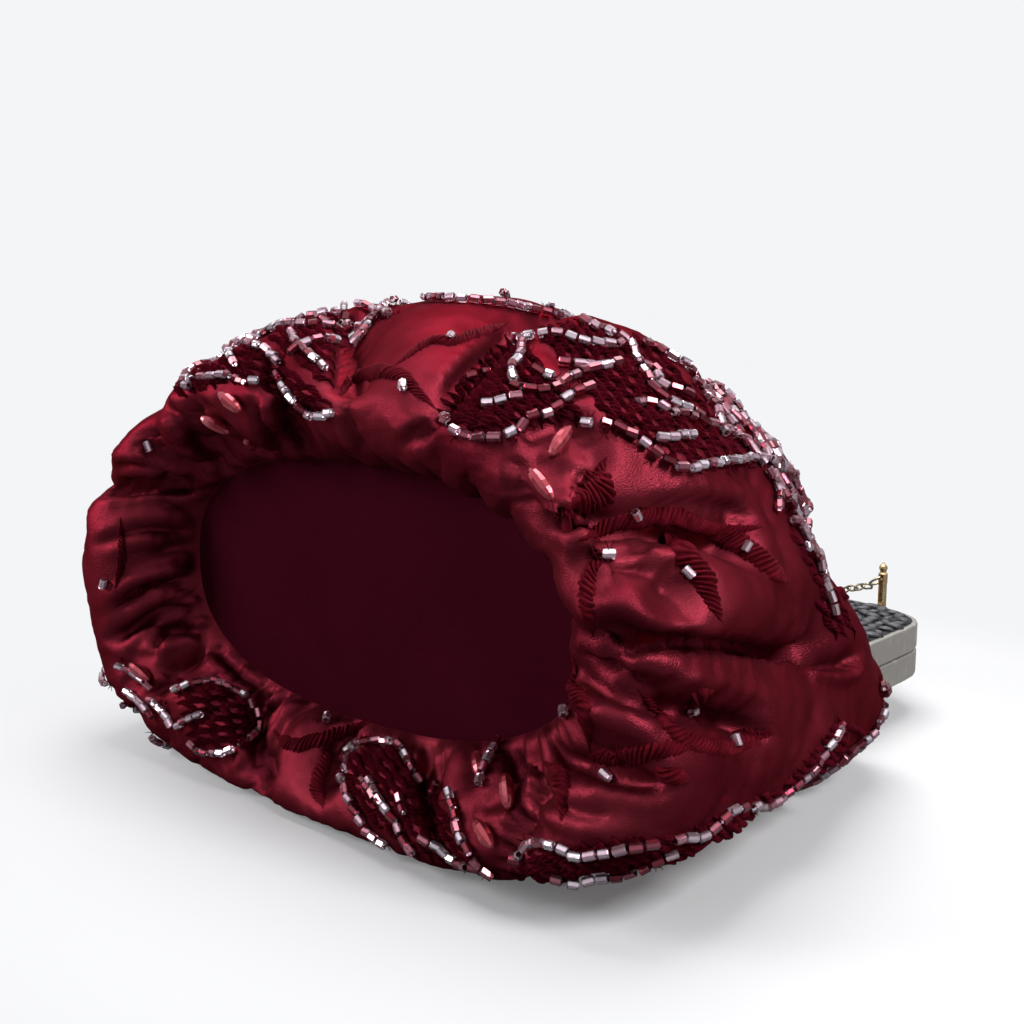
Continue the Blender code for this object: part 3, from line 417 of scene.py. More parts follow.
# %% Embroidered patches, where the satin is backed and lies flat
PATCHES = [
    [(440, 400), (500, 338), (580, 315), (645, 338), (705, 400), (762, 450), (700, 472),
     (640, 448), (583, 428),
     (540, 428), (500, 442), (440, 424)],
    [(160, 385), (200, 350), (262, 320), (338, 308), (334, 412), (285, 415), (250, 380),
     (180, 400)],
    [(770, 466), (830, 560), (862, 640), (832, 640), (790, 530)],
    [(840, 716), (874, 740), (780, 828), (660, 868), (560, 890), (500, 882), (540, 846),
     (680, 832), (780, 784)],
    [(342, 750), (400, 738), (430, 790), (470, 850), (500, 880), (420, 862), (350, 804)],
    [(172, 680), (250, 690), (264, 720), (240, 752), (188, 746)],
]


def picture_places(points):
    """Where the camera sees these points, in the picture's pixels."""
    v = (np.asarray(points) - np.array(CAMERA_PLACE)) @ np.array(LOOK)
    return np.stack([PICTURE / 2 - FOCAL * v[..., 0] / v[..., 2],
                     PICTURE / 2 + FOCAL * v[..., 1] / v[..., 2]], -1)


def inside(places, polygon):
    """Which places lie in a polygon."""
    x, y = places[..., 0], places[..., 1]
    hit = np.zeros(x.shape, bool)
    for (x0, y0), (x1, y1) in zip(polygon, polygon[1:] + polygon[:1]):
        crosses = (y0 > y) != (y1 > y)
        hit ^= crosses & (x < (x1 - x0) * (y - y0) / (y1 - y0 + 1e-9) + x0)
    return hit


# %% Stitched lines on the sides that the picture doesn't show
chance = random.Random(7)
seen = np.zeros(skin.shape[:2], bool)
for r in range(ROWS):
    for c in range(COLUMNS):
        p = Vector(skin[r, c])
        hit = skin_tree.ray_cast(CAMERA_PLACE, (p - CAMERA_PLACE).normalized())[0]
        seen[r, c] = hit is not None and (hit - p).length < 0.004
backed = np.zeros(skin.shape[:2], bool)
places = picture_places(skin)
for polygon in PATCHES:
    backed |= inside(places, polygon) & seen
PATCH_TRIES, PATCH_SPACING, PATCH_REACH = 200, 0.052, 0.021
hidden_patches = []
for _ in range(PATCH_TRIES):
    r, c = chance.randint(20, ROWS - 22), chance.randint(0, COLUMNS - 1)
    far = all(np.linalg.norm(skin[r, c] - q) > PATCH_SPACING for q in hidden_patches)
    if far and not seen[r, c] and skin[r, c, 2] > 0.006:
        hidden_patches.append(skin[r, c])
for q in hidden_patches:
    backed |= (np.linalg.norm(skin - q, axis=2) < PATCH_REACH) & ~seen
print("hidden patches", len(hidden_patches), "backed share", round(float(backed.mean()), 3))
for r in range(4, ROWS - 6, 6):
    for c in range(3 * (r // 6 % 2), COLUMNS + 3 * (r // 6 % 2), 7):
        if backed[r, c % COLUMNS]:
            press([skin[r, c % COLUMNS]], 1.0, 4.0)
HIDDEN_LINES = 46
hidden_lines = []
for k in range(HIDDEN_LINES):
    c = k / HIDDEN_LINES * COLUMNS + chance.uniform(-2, 2)
    start = chance.choice((12, 22, 34, 46)) + chance.uniform(-4, 4)
    length = chance.uniform(14, 40)
    lean = chance.uniform(-7, 7)
    points = []
    for i in range(30):
        t = i / 29
        r = int(min(max(start + length * t, 3), ROWS - 12))
        cc = int(round(c + lean * (t - 0.5) + 0.9 * math.sin(4 * t + k))) % COLUMNS
        if not seen[r, cc] and skin[r, cc, 2] > 0.004:
            points.append(skin[r, cc])
    if len(points) > 8:
        press(points, chance.uniform(3.5, 6), chance.uniform(5, 7))
        hidden_lines.append(points)

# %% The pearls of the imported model, which sit on the satin
SEAT, PEARL_REACH = 0.0016, 0.0046  # down to the cloth, and how far round a pearl it is held
pearl_lift = np.zeros(skin.shape[:2])
pearl_near = np.zeros(skin.shape[:2], bool)
pearl_centres = []
for name in frame["nodes"]:
    if name.startswith("rice_pearl"):
        low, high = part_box(name)
        centre = (np.array(low) + np.array(high)) / 2
        pearl_centres.append(centre)
        gap = np.linalg.norm(skin - centre, axis=2)
        r, c = np.unravel_index(np.argmin(gap), gap.shape)
        height = float((centre - skin[r, c]) @ normals[r, c]) - SEAT
        near = gap < gap.min() + PEARL_REACH
        pearl_lift[near], pearl_near[near] = height, True
        held[near] = True
print("held points", int(held.sum()), "seconds", round(time.time() - clock, 1))

# %% [markdown]
# ## The gathers
# The real folds come from spare cloth: the tube of satin is wider and longer than the shape that
# it covers, and a soft filling keeps it standing. They could be sculpted by hand, but a simulation
# finds folds that agree with each other. The cloth starts pressed in along the sewn lines, is held
# at both seams and at those lines, has 3 to 21 per cent of spare length, and a light pressure
# inside. It runs at ten times the real size, because the solver is steadier there.

# %% Start shape: drawn in between the seams, and pressed in where it is sewn
draw_in = np.interp(np.arange(ROWS), [0, 6, 20, 50, 70, ROWS - 6, ROWS - 1],
                    [0, 0.0006, 0.0024, 0.0026, 0.0042, 0.002, 0.0005])
draw_in = np.where(backed, -0.0008, draw_in[:, None])
for _ in range(4):
    draw_in[1:-1] = (draw_in[:-2] + 2 * draw_in[1:-1] + draw_in[2:]) / 4
    draw_in = (np.roll(draw_in, 1, axis=1) + 2 * draw_in + np.roll(draw_in, -1, axis=1)) / 4
# Places in the picture where the body is fuller, or with a minus sign leaner
SWELLS = [(0.0036, 0.030, (92, 540)), (0.0030, 0.036, (440, 312)), (0.0030, 0.032, (610, 345)),
          (-0.0085, 0.032, (852, 596)), (0.0012, 0.026, (215, 400))]
calm = np.clip((ROWS - 3 - np.arange(ROWS)) / 14, 0, 1)[:, None]
for amount, reach, (px, py) in SWELLS:
    place = np.array(on_skin([(px, py), (px + 3, py)])[0][0])
    draw_in = draw_in - amount * calm * np.exp(-np.sum((skin - place) ** 2, axis=2) / reach ** 2)
depth *= np.clip((np.arange(ROWS) - 1) / 4, 0, 1)[:, None]
inward = np.where(pearl_near, -pearl_lift, depth + draw_in)
start = skin - normals * inward[..., None]
turn = np.arange(COLUMNS) / COLUMNS
for r in range(ROWS):
    edge = min(r, ROWS - 1 - r)
    wave = 0.0011 * math.exp(-((edge - 3) / 5.0) ** 2) * min(max(edge - 1, 0) / 3, 1)
    swing = np.sin(2 * np.pi * 34 * turn + 0.6 * np.sin(2 * np.pi * 5 * turn))
    start[r] += normals[r] * (wave * swing)[:, None]
start[..., 2] = np.maximum(start[..., 2], 0.0004)
print("start shape", start.min(axis=(0, 1)).round(3), start.max(axis=(0, 1)).round(3))

# %% Spare cloth: how much longer and wider it is than the surface it covers
LEAST_GROWTH, MOST_GROWTH = 0.03, 0.21
by_row = np.interp(np.arange(ROWS), [0, 10, 26, 48, 60, 82, ROWS - 1],
                   [0.19, 0.16, 0.13, 0.12, 0.09, 0.08, 0.18])
growth = np.where(backed, 0.04, by_row[:, None])
for _ in range(3):
    growth[1:-1] = (growth[:-2] + 2 * growth[1:-1] + growth[2:]) / 4
    growth = (np.roll(growth, 1, axis=1) + 2 * growth + np.roll(growth, -1, axis=1)) / 4

# %% Cloth, with its pins and the table under it
SCALE = 10.0
mesh = tube_mesh("satin", start * SCALE)
cloth = bpy.data.objects.new("satin", mesh)
scene.collection.objects.link(cloth)
tree = KDTree(start.shape[0] * start.shape[1])
for i, p in enumerate(start.reshape(-1, 3) * SCALE):
    tree.insert(p, i)
tree.balance()
index = [tree.find(v.co)[1] for v in mesh.vertices]
wider = cloth.vertex_groups.new(name="wider")
weights = ((growth - LEAST_GROWTH) / (MOST_GROWTH - LEAST_GROWTH)).reshape(-1)
for i, k in enumerate(index):
    wider.add([i], float(weights[k]), "REPLACE")
pins = cloth.vertex_groups.new(name="pins")
edge_rows = np.zeros(skin.shape[:2], bool)
edge_rows[:2] = edge_rows[-2:] = True
fixed = (held | edge_rows).reshape(-1)  # sewn lines and both seams
pins.add([i for i, k in enumerate(index) if fixed[k]], 1.0, "REPLACE")
bm = bmesh.new()
bmesh.ops.create_grid(bm, x_segments=1, y_segments=1, size=3.0)
under = bpy.data.objects.new("under", to_mesh(bm, "under"))
scene.collection.objects.link(under)
under.modifiers.new("hard", "COLLISION")
under.collision.thickness_outer = 0.005

# %% Simulation
sim = cloth.modifiers.new("cloth", "CLOTH")
s = sim.settings
s.quality = 7
s.mass = 0.01
s.tension_stiffness, s.compression_stiffness, s.shear_stiffness = 20, 20, 8
s.bending_stiffness = 0.28
s.tension_damping = s.compression_damping = s.shear_damping = 1
s.bending_damping = 0.1
s.air_damping = 1.0
s.vertex_group_mass = "pins"
s.shrink_min, s.shrink_max = -LEAST_GROWTH, -MOST_GROWTH
s.vertex_group_shrink = "wider"
s.use_pressure = True
s.uniform_pressure_force = 18
s.effector_weights.gravity = 0.12
sim.collision_settings.use_collision = True
sim.collision_settings.distance_min = 0.006
sim.collision_settings.use_self_collision = False
LAST = 24
sim.point_cache.frame_start, sim.point_cache.frame_end = 1, LAST
for f in range(1, LAST + 1):
    scene.frame_set(f)
shown = cloth.evaluated_get(bpy.context.evaluated_depsgraph_get())
count = len(mesh.vertices)
settled = np.empty(count * 3)
shown.to_mesh().vertices.foreach_get("co", settled)
settled = settled.reshape(-1, 3) / SCALE
scene.frame_set(1)
print("cloth seconds", round(time.time() - clock, 1), settled.min(0), settled.max(0))
bpy.data.objects.remove(under, do_unlink=True)
bpy.data.objects.remove(cloth, do_unlink=True)
satin_grid = np.empty_like(start)
satin_grid.reshape(-1, 3)[index] = settled
# Ripples as short as two rows belong to the grid, not to the cloth
calmer = satin_grid.copy()
calmer[4:-3] = (satin_grid[3:-4] + 2 * satin_grid[4:-3] + satin_grid[5:-2]) / 4
satin_grid = np.where(held[..., None], satin_grid, calmer)
satin_grid[..., 2] = np.maximum(satin_grid[..., 2], 0.0003)


# %% [markdown]
# ## Finer folds
# Thin satin also has folds that are too small for the simulated grid: tight pleats at both seams,
# creases with a raised lip where it is sewn, and soft wrinkles across the puffs. They could be a
# bump in the material, but then they would be missing from the mesh. They are added as relief on
# a grid twice as fine, so the folds are real geometry with shadows of their own.

# %% Twice as fine a grid, along a smooth surface
def finer_grid(grid):
    """The grid with a point more between every two, read from the cubic through four."""
    before, after, beyond = (np.roll(grid, k, axis=1) for k in (1, -1, -2))
    wide = np.empty((grid.shape[0], 2 * grid.shape[1], grid.shape[2]))
    wide[:, 0::2], wide[:, 1::2] = grid, (9 * (grid + after) - before - beyond) / 16
    ends = np.concatenate([2 * wide[:1] - wide[1:2], wide, 2 * wide[-1:] - wide[-2:-1]])
    tall = np.empty((2 * grid.shape[0] - 1, wide.shape[1], grid.shape[2]))
    tall[0::2] = wide
    tall[1::2] = (9 * (ends[1:-2] + ends[2:-1]) - ends[:-3] - ends[3:]) / 16
    return tall


coarse_tree = bvh_of(satin_grid)
fine = finer_grid(satin_grid)
fine_out = grid_normals(fine)
fine_backed = finer_grid(np.where(backed, 1.0, 0.0)[..., None])[..., 0].clip(0, 1)
row_gaps = np.linalg.norm(np.diff(fine, axis=0), axis=2).mean(axis=1)
run_down = np.concatenate([[0], np.cumsum(row_gaps)])
run_round = np.cumsum(np.linalg.norm(np.roll(fine, -1, axis=1) - fine, axis=2), axis=1)
print("fine grid", fine.shape, "from panel to frame", round(run_down[-1], 3))

# %% Fine gathers at both seams
fine_columns = fine.shape[1]
share_round = np.arange(fine_columns) / fine_columns
relief = np.zeros(fine.shape[:2])


def gathers(count, height, reach, away, wander):
    """Pleats that start at a seam: round crests with sharp valleys between them."""
    u = share_round[None, :]
    phase = (count * u + wander * np.sin(2 * np.pi * 3 * u + 1)
             + 0.5 * wander * np.sin(2 * np.pi * 7 * u + 2))
    phase = phase + 0.5 * np.sin(2 * np.pi * 2 * u + 3 * count) * away[:, None] / reach
    uneven = 0.75 + 0.35 * np.sin(2 * np.pi * 5 * u + count) + 0.2 * np.sin(2 * np.pi * 11 * u)
    crest = np.abs(np.sin(np.pi * phase)) ** 0.8 - 0.62
    ramp = np.clip(away / 0.0035, 0, 1)[:, None]
    return height * crest * uneven * ramp * np.exp(-(away[:, None] / reach) ** 2)


from_panel, from_frame = run_down, run_down[-1] - run_down
relief += gathers(31, 0.0021, 0.020, from_panel, 1.6) + gathers(67, 0.0006, 0.008, from_panel, 2.2)
relief += gathers(43, 0.0008, 0.007, from_frame, 1.1)
relief *= 1 - 0.55 * fine_backed
print("gathers", round(relief.min() * 1000, 2), round(relief.max() * 1000, 2), "mm")

# %% Soft wrinkles across the puffs
wrinkle_chance = random.Random(3)
wrinkles = np.zeros(fine.shape[:2])
for _ in range(14):
    length = wrinkle_chance.uniform(0.007, 0.018)
    lean = wrinkle_chance.gauss(0, 0.35)
    reached = run_round * math.cos(lean) + run_down[:, None] * math.sin(lean)
    wrinkles += np.sin(2 * np.pi * reached / length + wrinkle_chance.uniform(0, 6.28)) / 3.7
inner_share = np.clip(np.minimum(from_panel, from_frame) / 0.012, 0, 1)[:, None]
WRINKLE_HEIGHT = 0.00012
relief += WRINKLE_HEIGHT * (1 - np.abs(wrinkles)) * inner_share * (1 - 0.6 * fine_backed)
print("wrinkles up to", round(WRINKLE_HEIGHT * 1000, 2), "mm")

# %% Sharp creases where the satin is sewn down
CREASES = [
    (2.6, 1.5, [(583, 637), (607, 644), (640, 651), (673, 651), (727, 655), (773, 662),
                (817, 668), (847, 668),
                (861, 655)]),
    (2.2, 1.5, [(577, 668), (597, 687), (640, 703), (680, 717)]),
    (2.0, 1.4, [(688, 715), (730, 726), (773, 737)]),
    (2.2, 1.4, [(560, 750), (590, 768), (627, 780), (680, 787)]),
    (2.2, 1.4, [(548, 514), (575, 520), (620, 518)]),
    (1.6, 1.3, [(575, 566), (594, 556), (627, 549), (665, 545)]),
    (1.6, 1.3, [(640, 512), (700, 506), (757, 519)]),
    (2.4, 1.5, [(85, 493), (123, 497), (160, 491), (200, 490)]),
    (1.8, 1.4, [(92, 470), (130, 468), (170, 474), (205, 482)]),
    (2.2, 1.4, [(157, 400), (180, 420), (213, 453), (229, 470)]),
    (2.0, 1.4, [(140, 436), (152, 455), (189, 470)]),
    (2.0, 1.4, [(113, 612), (147, 588), (192, 580)]),
    (2.2, 1.4, [(117, 640), (157, 614), (194, 608)]),
    (1.8, 1.4, [(150, 655), (167, 633), (213, 630)]),
    (1.6, 1.3, [(96, 545), (140, 530), (194, 532)]),
    (2.0, 1.4, [(240, 390), (267, 427), (293, 449)]),
    (2.0, 1.4, [(277, 390), (293, 427), (313, 449)]),
    (2.0, 1.4, [(340, 400), (352, 430), (370, 456)]),
    (2.4, 1.5, [(348, 300), (343, 347), (340, 392)]),
    (2.0, 1.4, [(442, 399), (474, 367), (495, 349), (513, 333)]),
    (1.8, 1.3, [(400, 452), (412, 436), (440, 424)]),
    (2.0, 1.4, [(560, 465), (543, 487), (528, 508)]),
    (2.0, 1.4, [(260, 712), (273, 684), (300, 682)]),
    (1.8, 1.3, [(210, 640), (236, 668), (262, 690)]),
    (2.0, 1.4, [(365, 722), (340, 741), (329, 764)]),
    (2.0, 1.4, [(285, 700), (262, 725), (255, 771)]),
    (1.8, 1.3, [(430, 738), (425, 790), (440, 850)]),
    (2.2, 1.4, [(518, 748), (522, 800), (500, 850)]),
    (1.6, 1.3, [(540, 790), (575, 812), (620, 815)]),
    (1.5, 1.3, [(770, 470), (800, 500), (824, 540)]),
]


PUCKER_PITCH, CREASE_STEP, FOLD_JUMP = 0.0036, 0.0006, 0.012
LAPPED = (0, 7)


def crease(points, deep, wide, pucker=0.22, lap=False):
    """A narrow valley with a raised lip, and small puckers drawn in towards it.

    With a lap the cloth below the line stands up as a rolled edge, and the cloth above runs
    under it.
    """
    P = np.array([tuple(p) for p in smooth_path(points, CREASE_STEP)])
    low, high = P.min(axis=0) - 0.012, P.max(axis=0) + 0.012
    near = np.all((fine > low) & (fine < high), axis=2)
    Q = fine[near]
    if not len(Q):
        return
    gaps = np.linalg.norm(Q[:, None] - P[None], axis=2)
    d = gaps.min(axis=1) * 1000
    along = gaps.argmin(axis=1) * CREASE_STEP
    taper = np.clip(np.minimum(along, along.max() - along) / 0.004, 0.15, 1)

    def hump(centre, reach):
        return np.exp(-((d - centre) / reach) ** 2)

    if lap:
        above = Q[:, 2] > P[gaps.argmin(axis=1), 2]
        lip = 0.7 * hump(1.6, 1.6) - 0.9 * hump(0, 0.9)
        cut = deep * np.where(above, -1.3 * hump(0, 1.9 * wide), lip)
    else:
        cut = deep * (0.35 * hump(2.4 * wide, 1.3 * wide) - hump(0, wide))
    drawn = pucker * np.sin(2 * np.pi * along / PUCKER_PITCH + d * 0.3) * hump(0, 5.0)
    drawn *= 1 - hump(0, wide)
    relief[near] += (cut + drawn) / 1000 * taper


for number, (deep, wide, pixels) in enumerate(CREASES):
    found = []
    for p in smooth_path([(x, y, 0) for x, y in pixels], 3.0):
        hit = coarse_tree.ray_cast(CAMERA_PLACE, sight(p.x, p.y))[0]
        if hit is not None and (not found or (hit - found[-1]).length < FOLD_JUMP):
            found.append(hit)
    if len(found) > 3:
        crease(found, deep, wide, lap=number in LAPPED)
for points in hidden_lines:
    crease([coarse_tree.find_nearest(Vector(q))[0] for q in points[::5]], 1.5, 1.4, pucker=0.08)
relief *= np.clip((from_panel - 0.002) / 0.003, 0, 1)[:, None]
relief *= np.clip(from_frame / 0.002, 0, 1)[:, None]
for centre in pearl_centres:
    gap = np.linalg.norm(fine - centre, axis=2)
    relief *= np.clip((gap - 0.0035) / 0.004, 0, 1)
fine = fine + fine_out * relief[..., None]
fine[..., 2] = np.maximum(fine[..., 2], 0.0003)


# %% Room for the front half of the frame, which swings back by 60 degrees
HINGE_Y, SWING, SWING_REACH, SOFTNESS = 0.02995, math.radians(60), 0.0102, 0.0005
risen = fine[..., 2] - PARTING
room = HINGE_Y - (SWING_REACH - risen * math.cos(SWING)) / math.sin(SWING)
# Near the parting plane the half only turns on the spot, so the satin may stay where it is
room += 0.006 * np.clip((0.0074 - risen) / 0.0014, 0, 1) + 0.05 * (risen < 0.0052)
fine[..., 1] = room - SOFTNESS * np.logaddexp(0, (room - fine[..., 1]) / SOFTNESS)
print("relief", round(relief.min() * 1000, 2), round(relief.max() * 1000, 2), "seconds",
      round(time.time() - clock, 1))

# %% [markdown]
# ## Materials
# Every finish is made from nodes, so it has no size of its own and nothing needs unwrapping. What
# several finishes share is kept in small groups that give only a value: an uneven tone, a fine
# grain, and streaks that are light scratches on the metals and a painted sheen on the pearl. Each
# material reads them into its own colour, roughness and bump.

# %% Nodes in short
def node(tree, kind, inputs=None, **settings):
    """Adds a node, sets its fields, and sets or joins its inputs."""
    made = tree.nodes.new(kind)
    for key, value in settings.items():
        setattr(made, key, value)
    for key, value in (inputs or {}).items():
        if isinstance(value, bpy.types.NodeSocket):
            tree.links.new(value, made.inputs[key])
        else:
            made.inputs[key].default_value = value
    return made


def value_group(name, inputs, outputs):
    """An empty shader group with number inputs and number outputs."""
    tree = bpy.data.node_groups.new(name, "ShaderNodeTree")
    for label, start_value in inputs:
        socket = tree.interface.new_socket(label, in_out="INPUT", socket_type="NodeSocketFloat")
        socket.default_value = start_value
    for label in outputs:
        tree.interface.new_socket(label, in_out="OUTPUT", socket_type="NodeSocketFloat")
    return tree, tree.nodes.new("NodeGroupInput"), tree.nodes.new("NodeGroupOutput")


def spread(tree, value, low, high, to_low=0.0, to_high=1.0):
    """A value stretched from one range to another."""
    return node(tree, "ShaderNodeMapRange", {"Value": value, "From Min": low, "From Max": high,
                                             "To Min": to_low, "To Max": to_high}).outputs["Result"]


# %% Shared effects
uneven, given, result = value_group("uneven_tone", [("Scale", 60.0)], ["Tone"])
place = node(uneven, "ShaderNodeTexCoord").outputs["Object"]
cloud = node(uneven, "ShaderNodeTexNoise", {"Vector": place, "Scale": given.outputs["Scale"],
                                            "Detail": 4.0, "Roughness": 0.6})
uneven.links.new(spread(uneven, cloud.outputs["Fac"], 0.32, 0.68), result.inputs["Tone"])

grain, given, result = value_group("cloth_grain", [("Across", 2400.0), ("Along", 420.0)],
                                   ["Height"])
place = node(grain, "ShaderNodeUVMap").outputs["UV"]
parts = node(grain, "ShaderNodeSeparateXYZ", {"Vector": place})
across = node(grain, "ShaderNodeMath", {0: parts.outputs["X"], 1: given.outputs["Across"]},
              operation="MULTIPLY")
along = node(grain, "ShaderNodeMath", {0: parts.outputs["Y"], 1: given.outputs["Along"]},
             operation="MULTIPLY")
joined = node(grain, "ShaderNodeCombineXYZ", {"X": across.outputs[0], "Y": along.outputs[0]})
threads = node(grain, "ShaderNodeTexNoise", {"Vector": joined.outputs[0], "Scale": 1.0,
                                             "Detail": 2.0})
grain.links.new(spread(grain, threads.outputs["Fac"], 0.3, 0.7), result.inputs["Height"])

fibres, given, result = value_group("loose_fibres", [("Scale", 2600.0)], ["Height"])
place = node(fibres, "ShaderNodeTexCoord").outputs["Object"]
tangle = node(fibres, "ShaderNodeTexNoise", {"Vector": place, "Scale": given.outputs["Scale"],
                                             "Detail": 3.0, "Distortion": 1.2})
fibres.links.new(spread(fibres, tangle.outputs["Fac"], 0.3, 0.7), result.inputs["Height"])

# Streaks: light scratches on the metals, and on the pearl a painted sheen along its length
scuffs_and_sheen, given, result = value_group("scuffs_and_sheen", [("Scale", 90.0)], ["Mask"])
place = node(scuffs_and_sheen, "ShaderNodeTexCoord").outputs["Object"]
turned = node(scuffs_and_sheen, "ShaderNodeMapping", {"Vector": place, "Rotation": (0.3, 0.2, 0.7),
                                            "Scale": (1.0, 14.0, 5.0)})
streaks = node(scuffs_and_sheen, "ShaderNodeTexNoise", {"Vector": turned.outputs[0],
                                              "Scale": given.outputs["Scale"], "Detail": 5.0})
scuffs_and_sheen.links.new(spread(scuffs_and_sheen, streaks.outputs["Fac"], 0.52, 0.7), result.inputs["Mask"])


def effect(tree, group, output, **inputs):
    """One output of a shared group, placed in a material with its own values."""
    made = tree.nodes.new("ShaderNodeGroup")
    made.node_tree = group
    for key, value in inputs.items():
        made.inputs[key].default_value = value
    return made.outputs[output]


def finish(name, low, high, mask=None, rough=(0.5, 0.5), metal=0.0, specular=0.5, bump=None,
           **fixed):
    """A material between two colours, with a roughness range and an optional bump.

    The mask is (group, output, inputs), and the bump has its height in metres as well.
    """
    m = bpy.data.materials.new(name)
    m.use_nodes = True
    tree = m.node_tree
    body = tree.nodes["Principled BSDF"]
    body.inputs["Metallic"].default_value = metal
    body.inputs["Specular IOR Level"].default_value = specular
    for key, value in fixed.items():
        body.inputs[key.replace("_", " ")].default_value = value
    group, output, inputs = mask or (uneven, "Tone", {"Scale": 60.0})
    tone = effect(tree, group, output, **inputs)
    colour = node(tree, "ShaderNodeMix", {0: tone, 6: (*low, 1), 7: (*high, 1)}, data_type="RGBA")
    tree.links.new(colour.outputs[2], body.inputs["Base Color"])
    tree.links.new(spread(tree, tone, 0, 1, *rough), body.inputs["Roughness"])
    if bump:
        group, output, inputs, height = bump
        raised = node(tree, "ShaderNodeBump", {"Height": effect(tree, group, output, **inputs),
                                               "Distance": height, "Strength": 1.0})
        tree.links.new(raised.outputs["Normal"], body.inputs["Normal"])
    return m


def simple(name, colour, rough, metal=0.0):
    """A material of one colour."""
    m = bpy.data.materials.new(name)
    m.use_nodes = True
    b = m.node_tree.nodes["Principled BSDF"]
    b.inputs["Base Color"].default_value = (*colour, 1)
    b.inputs["Roughness"].default_value = rough
    b.inputs["Metallic"].default_value = metal
    return m


# %% Cloth and thread
def toned(scale):
    return uneven, "Tone", {"Scale": scale}


def grainy(across, along):
    return grain, "Height", {"Across": across, "Along": along}, 0.00005


def furry(scale, height):
    return fibres, "Height", {"Scale": scale}, height


def streaked(scale):
    return scuffs_and_sheen, "Mask", {"Scale": scale}


wine = finish("wine_satin", (0.112, 0.0095, 0.0180), (0.190, 0.0190, 0.0310), toned(34.0),
              rough=(0.33, 0.41), metal=0.64, specular=0.0, bump=grainy(2600.0, 330.0),
              Specular_Tint=(0.30, 0.03, 0.05, 1))
lining_satin = finish("lining_satin", (0.07, 0.0020, 0.006), (0.11, 0.0035, 0.009),
                      rough=(0.42, 0.5), metal=0.3, specular=0.0, bump=grainy(1700.0, 260.0))
panel_cloth = finish("panel_cloth", (0.052, 0.0034, 0.0105), (0.064, 0.0046, 0.0135), toned(25.0),
                     rough=(0.9, 0.95), specular=0.0, bump=furry(3200.0, 0.00003))
thread = finish("stitch_thread", (0.080, 0.0035, 0.0085), (0.160, 0.0085, 0.0180), toned(260.0),
                rough=(0.42, 0.5), metal=0.4, specular=0.0, bump=furry(5200.0, 0.00007))
dark_thread = finish("chenille_thread", (0.050, 0.0010, 0.0045), (0.120, 0.0025, 0.0110),
                     toned(420.0), rough=(0.75, 0.9), specular=0.0, bump=furry(4200.0, 0.00025),
                     Sheen_Weight=0.25, Sheen_Tint=(0.7, 0.08, 0.14, 1))
board_card = finish("board_card", (0.17, 0.145, 0.115), (0.24, 0.21, 0.17), rough=(0.85, 0.95),
                    bump=furry(1500.0, 0.00004))

# %% Metals and pearl
pewter = finish("satin_pewter", (0.56, 0.53, 0.475), (0.68, 0.65, 0.59), streaked(70.0),
                rough=(0.32, 0.44), metal=0.8, bump=(*toned(500.0), 0.000015))
silver = finish("aged_silver", (0.012, 0.012, 0.014), (0.045, 0.045, 0.05), toned(300.0),
                rough=(0.5, 0.65), metal=0.6, bump=(*toned(900.0), 0.00008))
gilt = finish("pale_gilt", (0.60, 0.43, 0.21), (0.74, 0.58, 0.34), streaked(120.0),
              rough=(0.18, 0.32), metal=1.0)
brass = finish("aged_brass", (0.30, 0.25, 0.17), (0.52, 0.45, 0.31), toned(350.0),
               rough=(0.25, 0.4), metal=1.0)
# The pearl's paler streaks are a painted sheen along its length
pearl_pink = finish("rose_pearl", (0.40, 0.035, 0.055), (0.66, 0.13, 0.16), streaked(40.0),
                    rough=(0.22, 0.32), metal=0.6, Coat_Weight=0.5, Coat_Roughness=0.1)

# %% The cast leaves: bright where they stand highest
leaf_silver = finish("leaf_silver", (0.17, 0.17, 0.18), (0.40, 0.40, 0.41), streaked(150.0),
                     rough=(0.48, 0.62), metal=0.75, bump=(*toned(700.0), 0.00006))
tree = leaf_silver.node_tree
body = tree.nodes["Principled BSDF"]
raised = node(tree, "ShaderNodeAttribute", attribute_name="raised").outputs["Fac"]
patina = node(tree, "ShaderNodeMix", {
    0: spread(tree, raised, 0.40, 0.95), 6: (0.022, 0.022, 0.025, 1),
    7: body.inputs["Base Color"].links[0].from_socket}, data_type="RGBA")
tree.links.new(patina.outputs[2], body.inputs["Base Color"])

# %% Glass of the beads, each a little different
bead_glass = bpy.data.materials.new("bead_glass")
bead_glass.use_nodes = True
tree = bead_glass.node_tree
body = tree.nodes["Principled BSDF"]
body.inputs["Transmission Weight"].default_value = 0.85
body.inputs["Metallic"].default_value = 0.15
body.inputs["Roughness"].default_value = 0.04
tone = node(tree, "ShaderNodeAttribute", attribute_name="tone").outputs["Fac"]
ramp = node(tree, "ShaderNodeValToRGB", {"Fac": tone})
GLASS_TONES = [(0.3, (0.42, 0.05, 0.09, 1)), (0.5, (0.74, 0.34, 0.42, 1)),
               (0.7, (0.90, 0.68, 0.77, 1))]
ramp.color_ramp.elements[0].color = (0.20, 0.005, 0.018, 1)
ramp.color_ramp.elements[1].color = (0.98, 0.92, 0.97, 1)
for position, colour in GLASS_TONES:
    ramp.color_ramp.elements.new(position).color = colour
tree.links.new(ramp.outputs["Color"], body.inputs["Base Color"])
bead_lining = simple("bead_lining", (0.95, 0.82, 0.88), 0.15, 1.0)
print("materials", len(bpy.data.materials), "groups", len(bpy.data.node_groups))
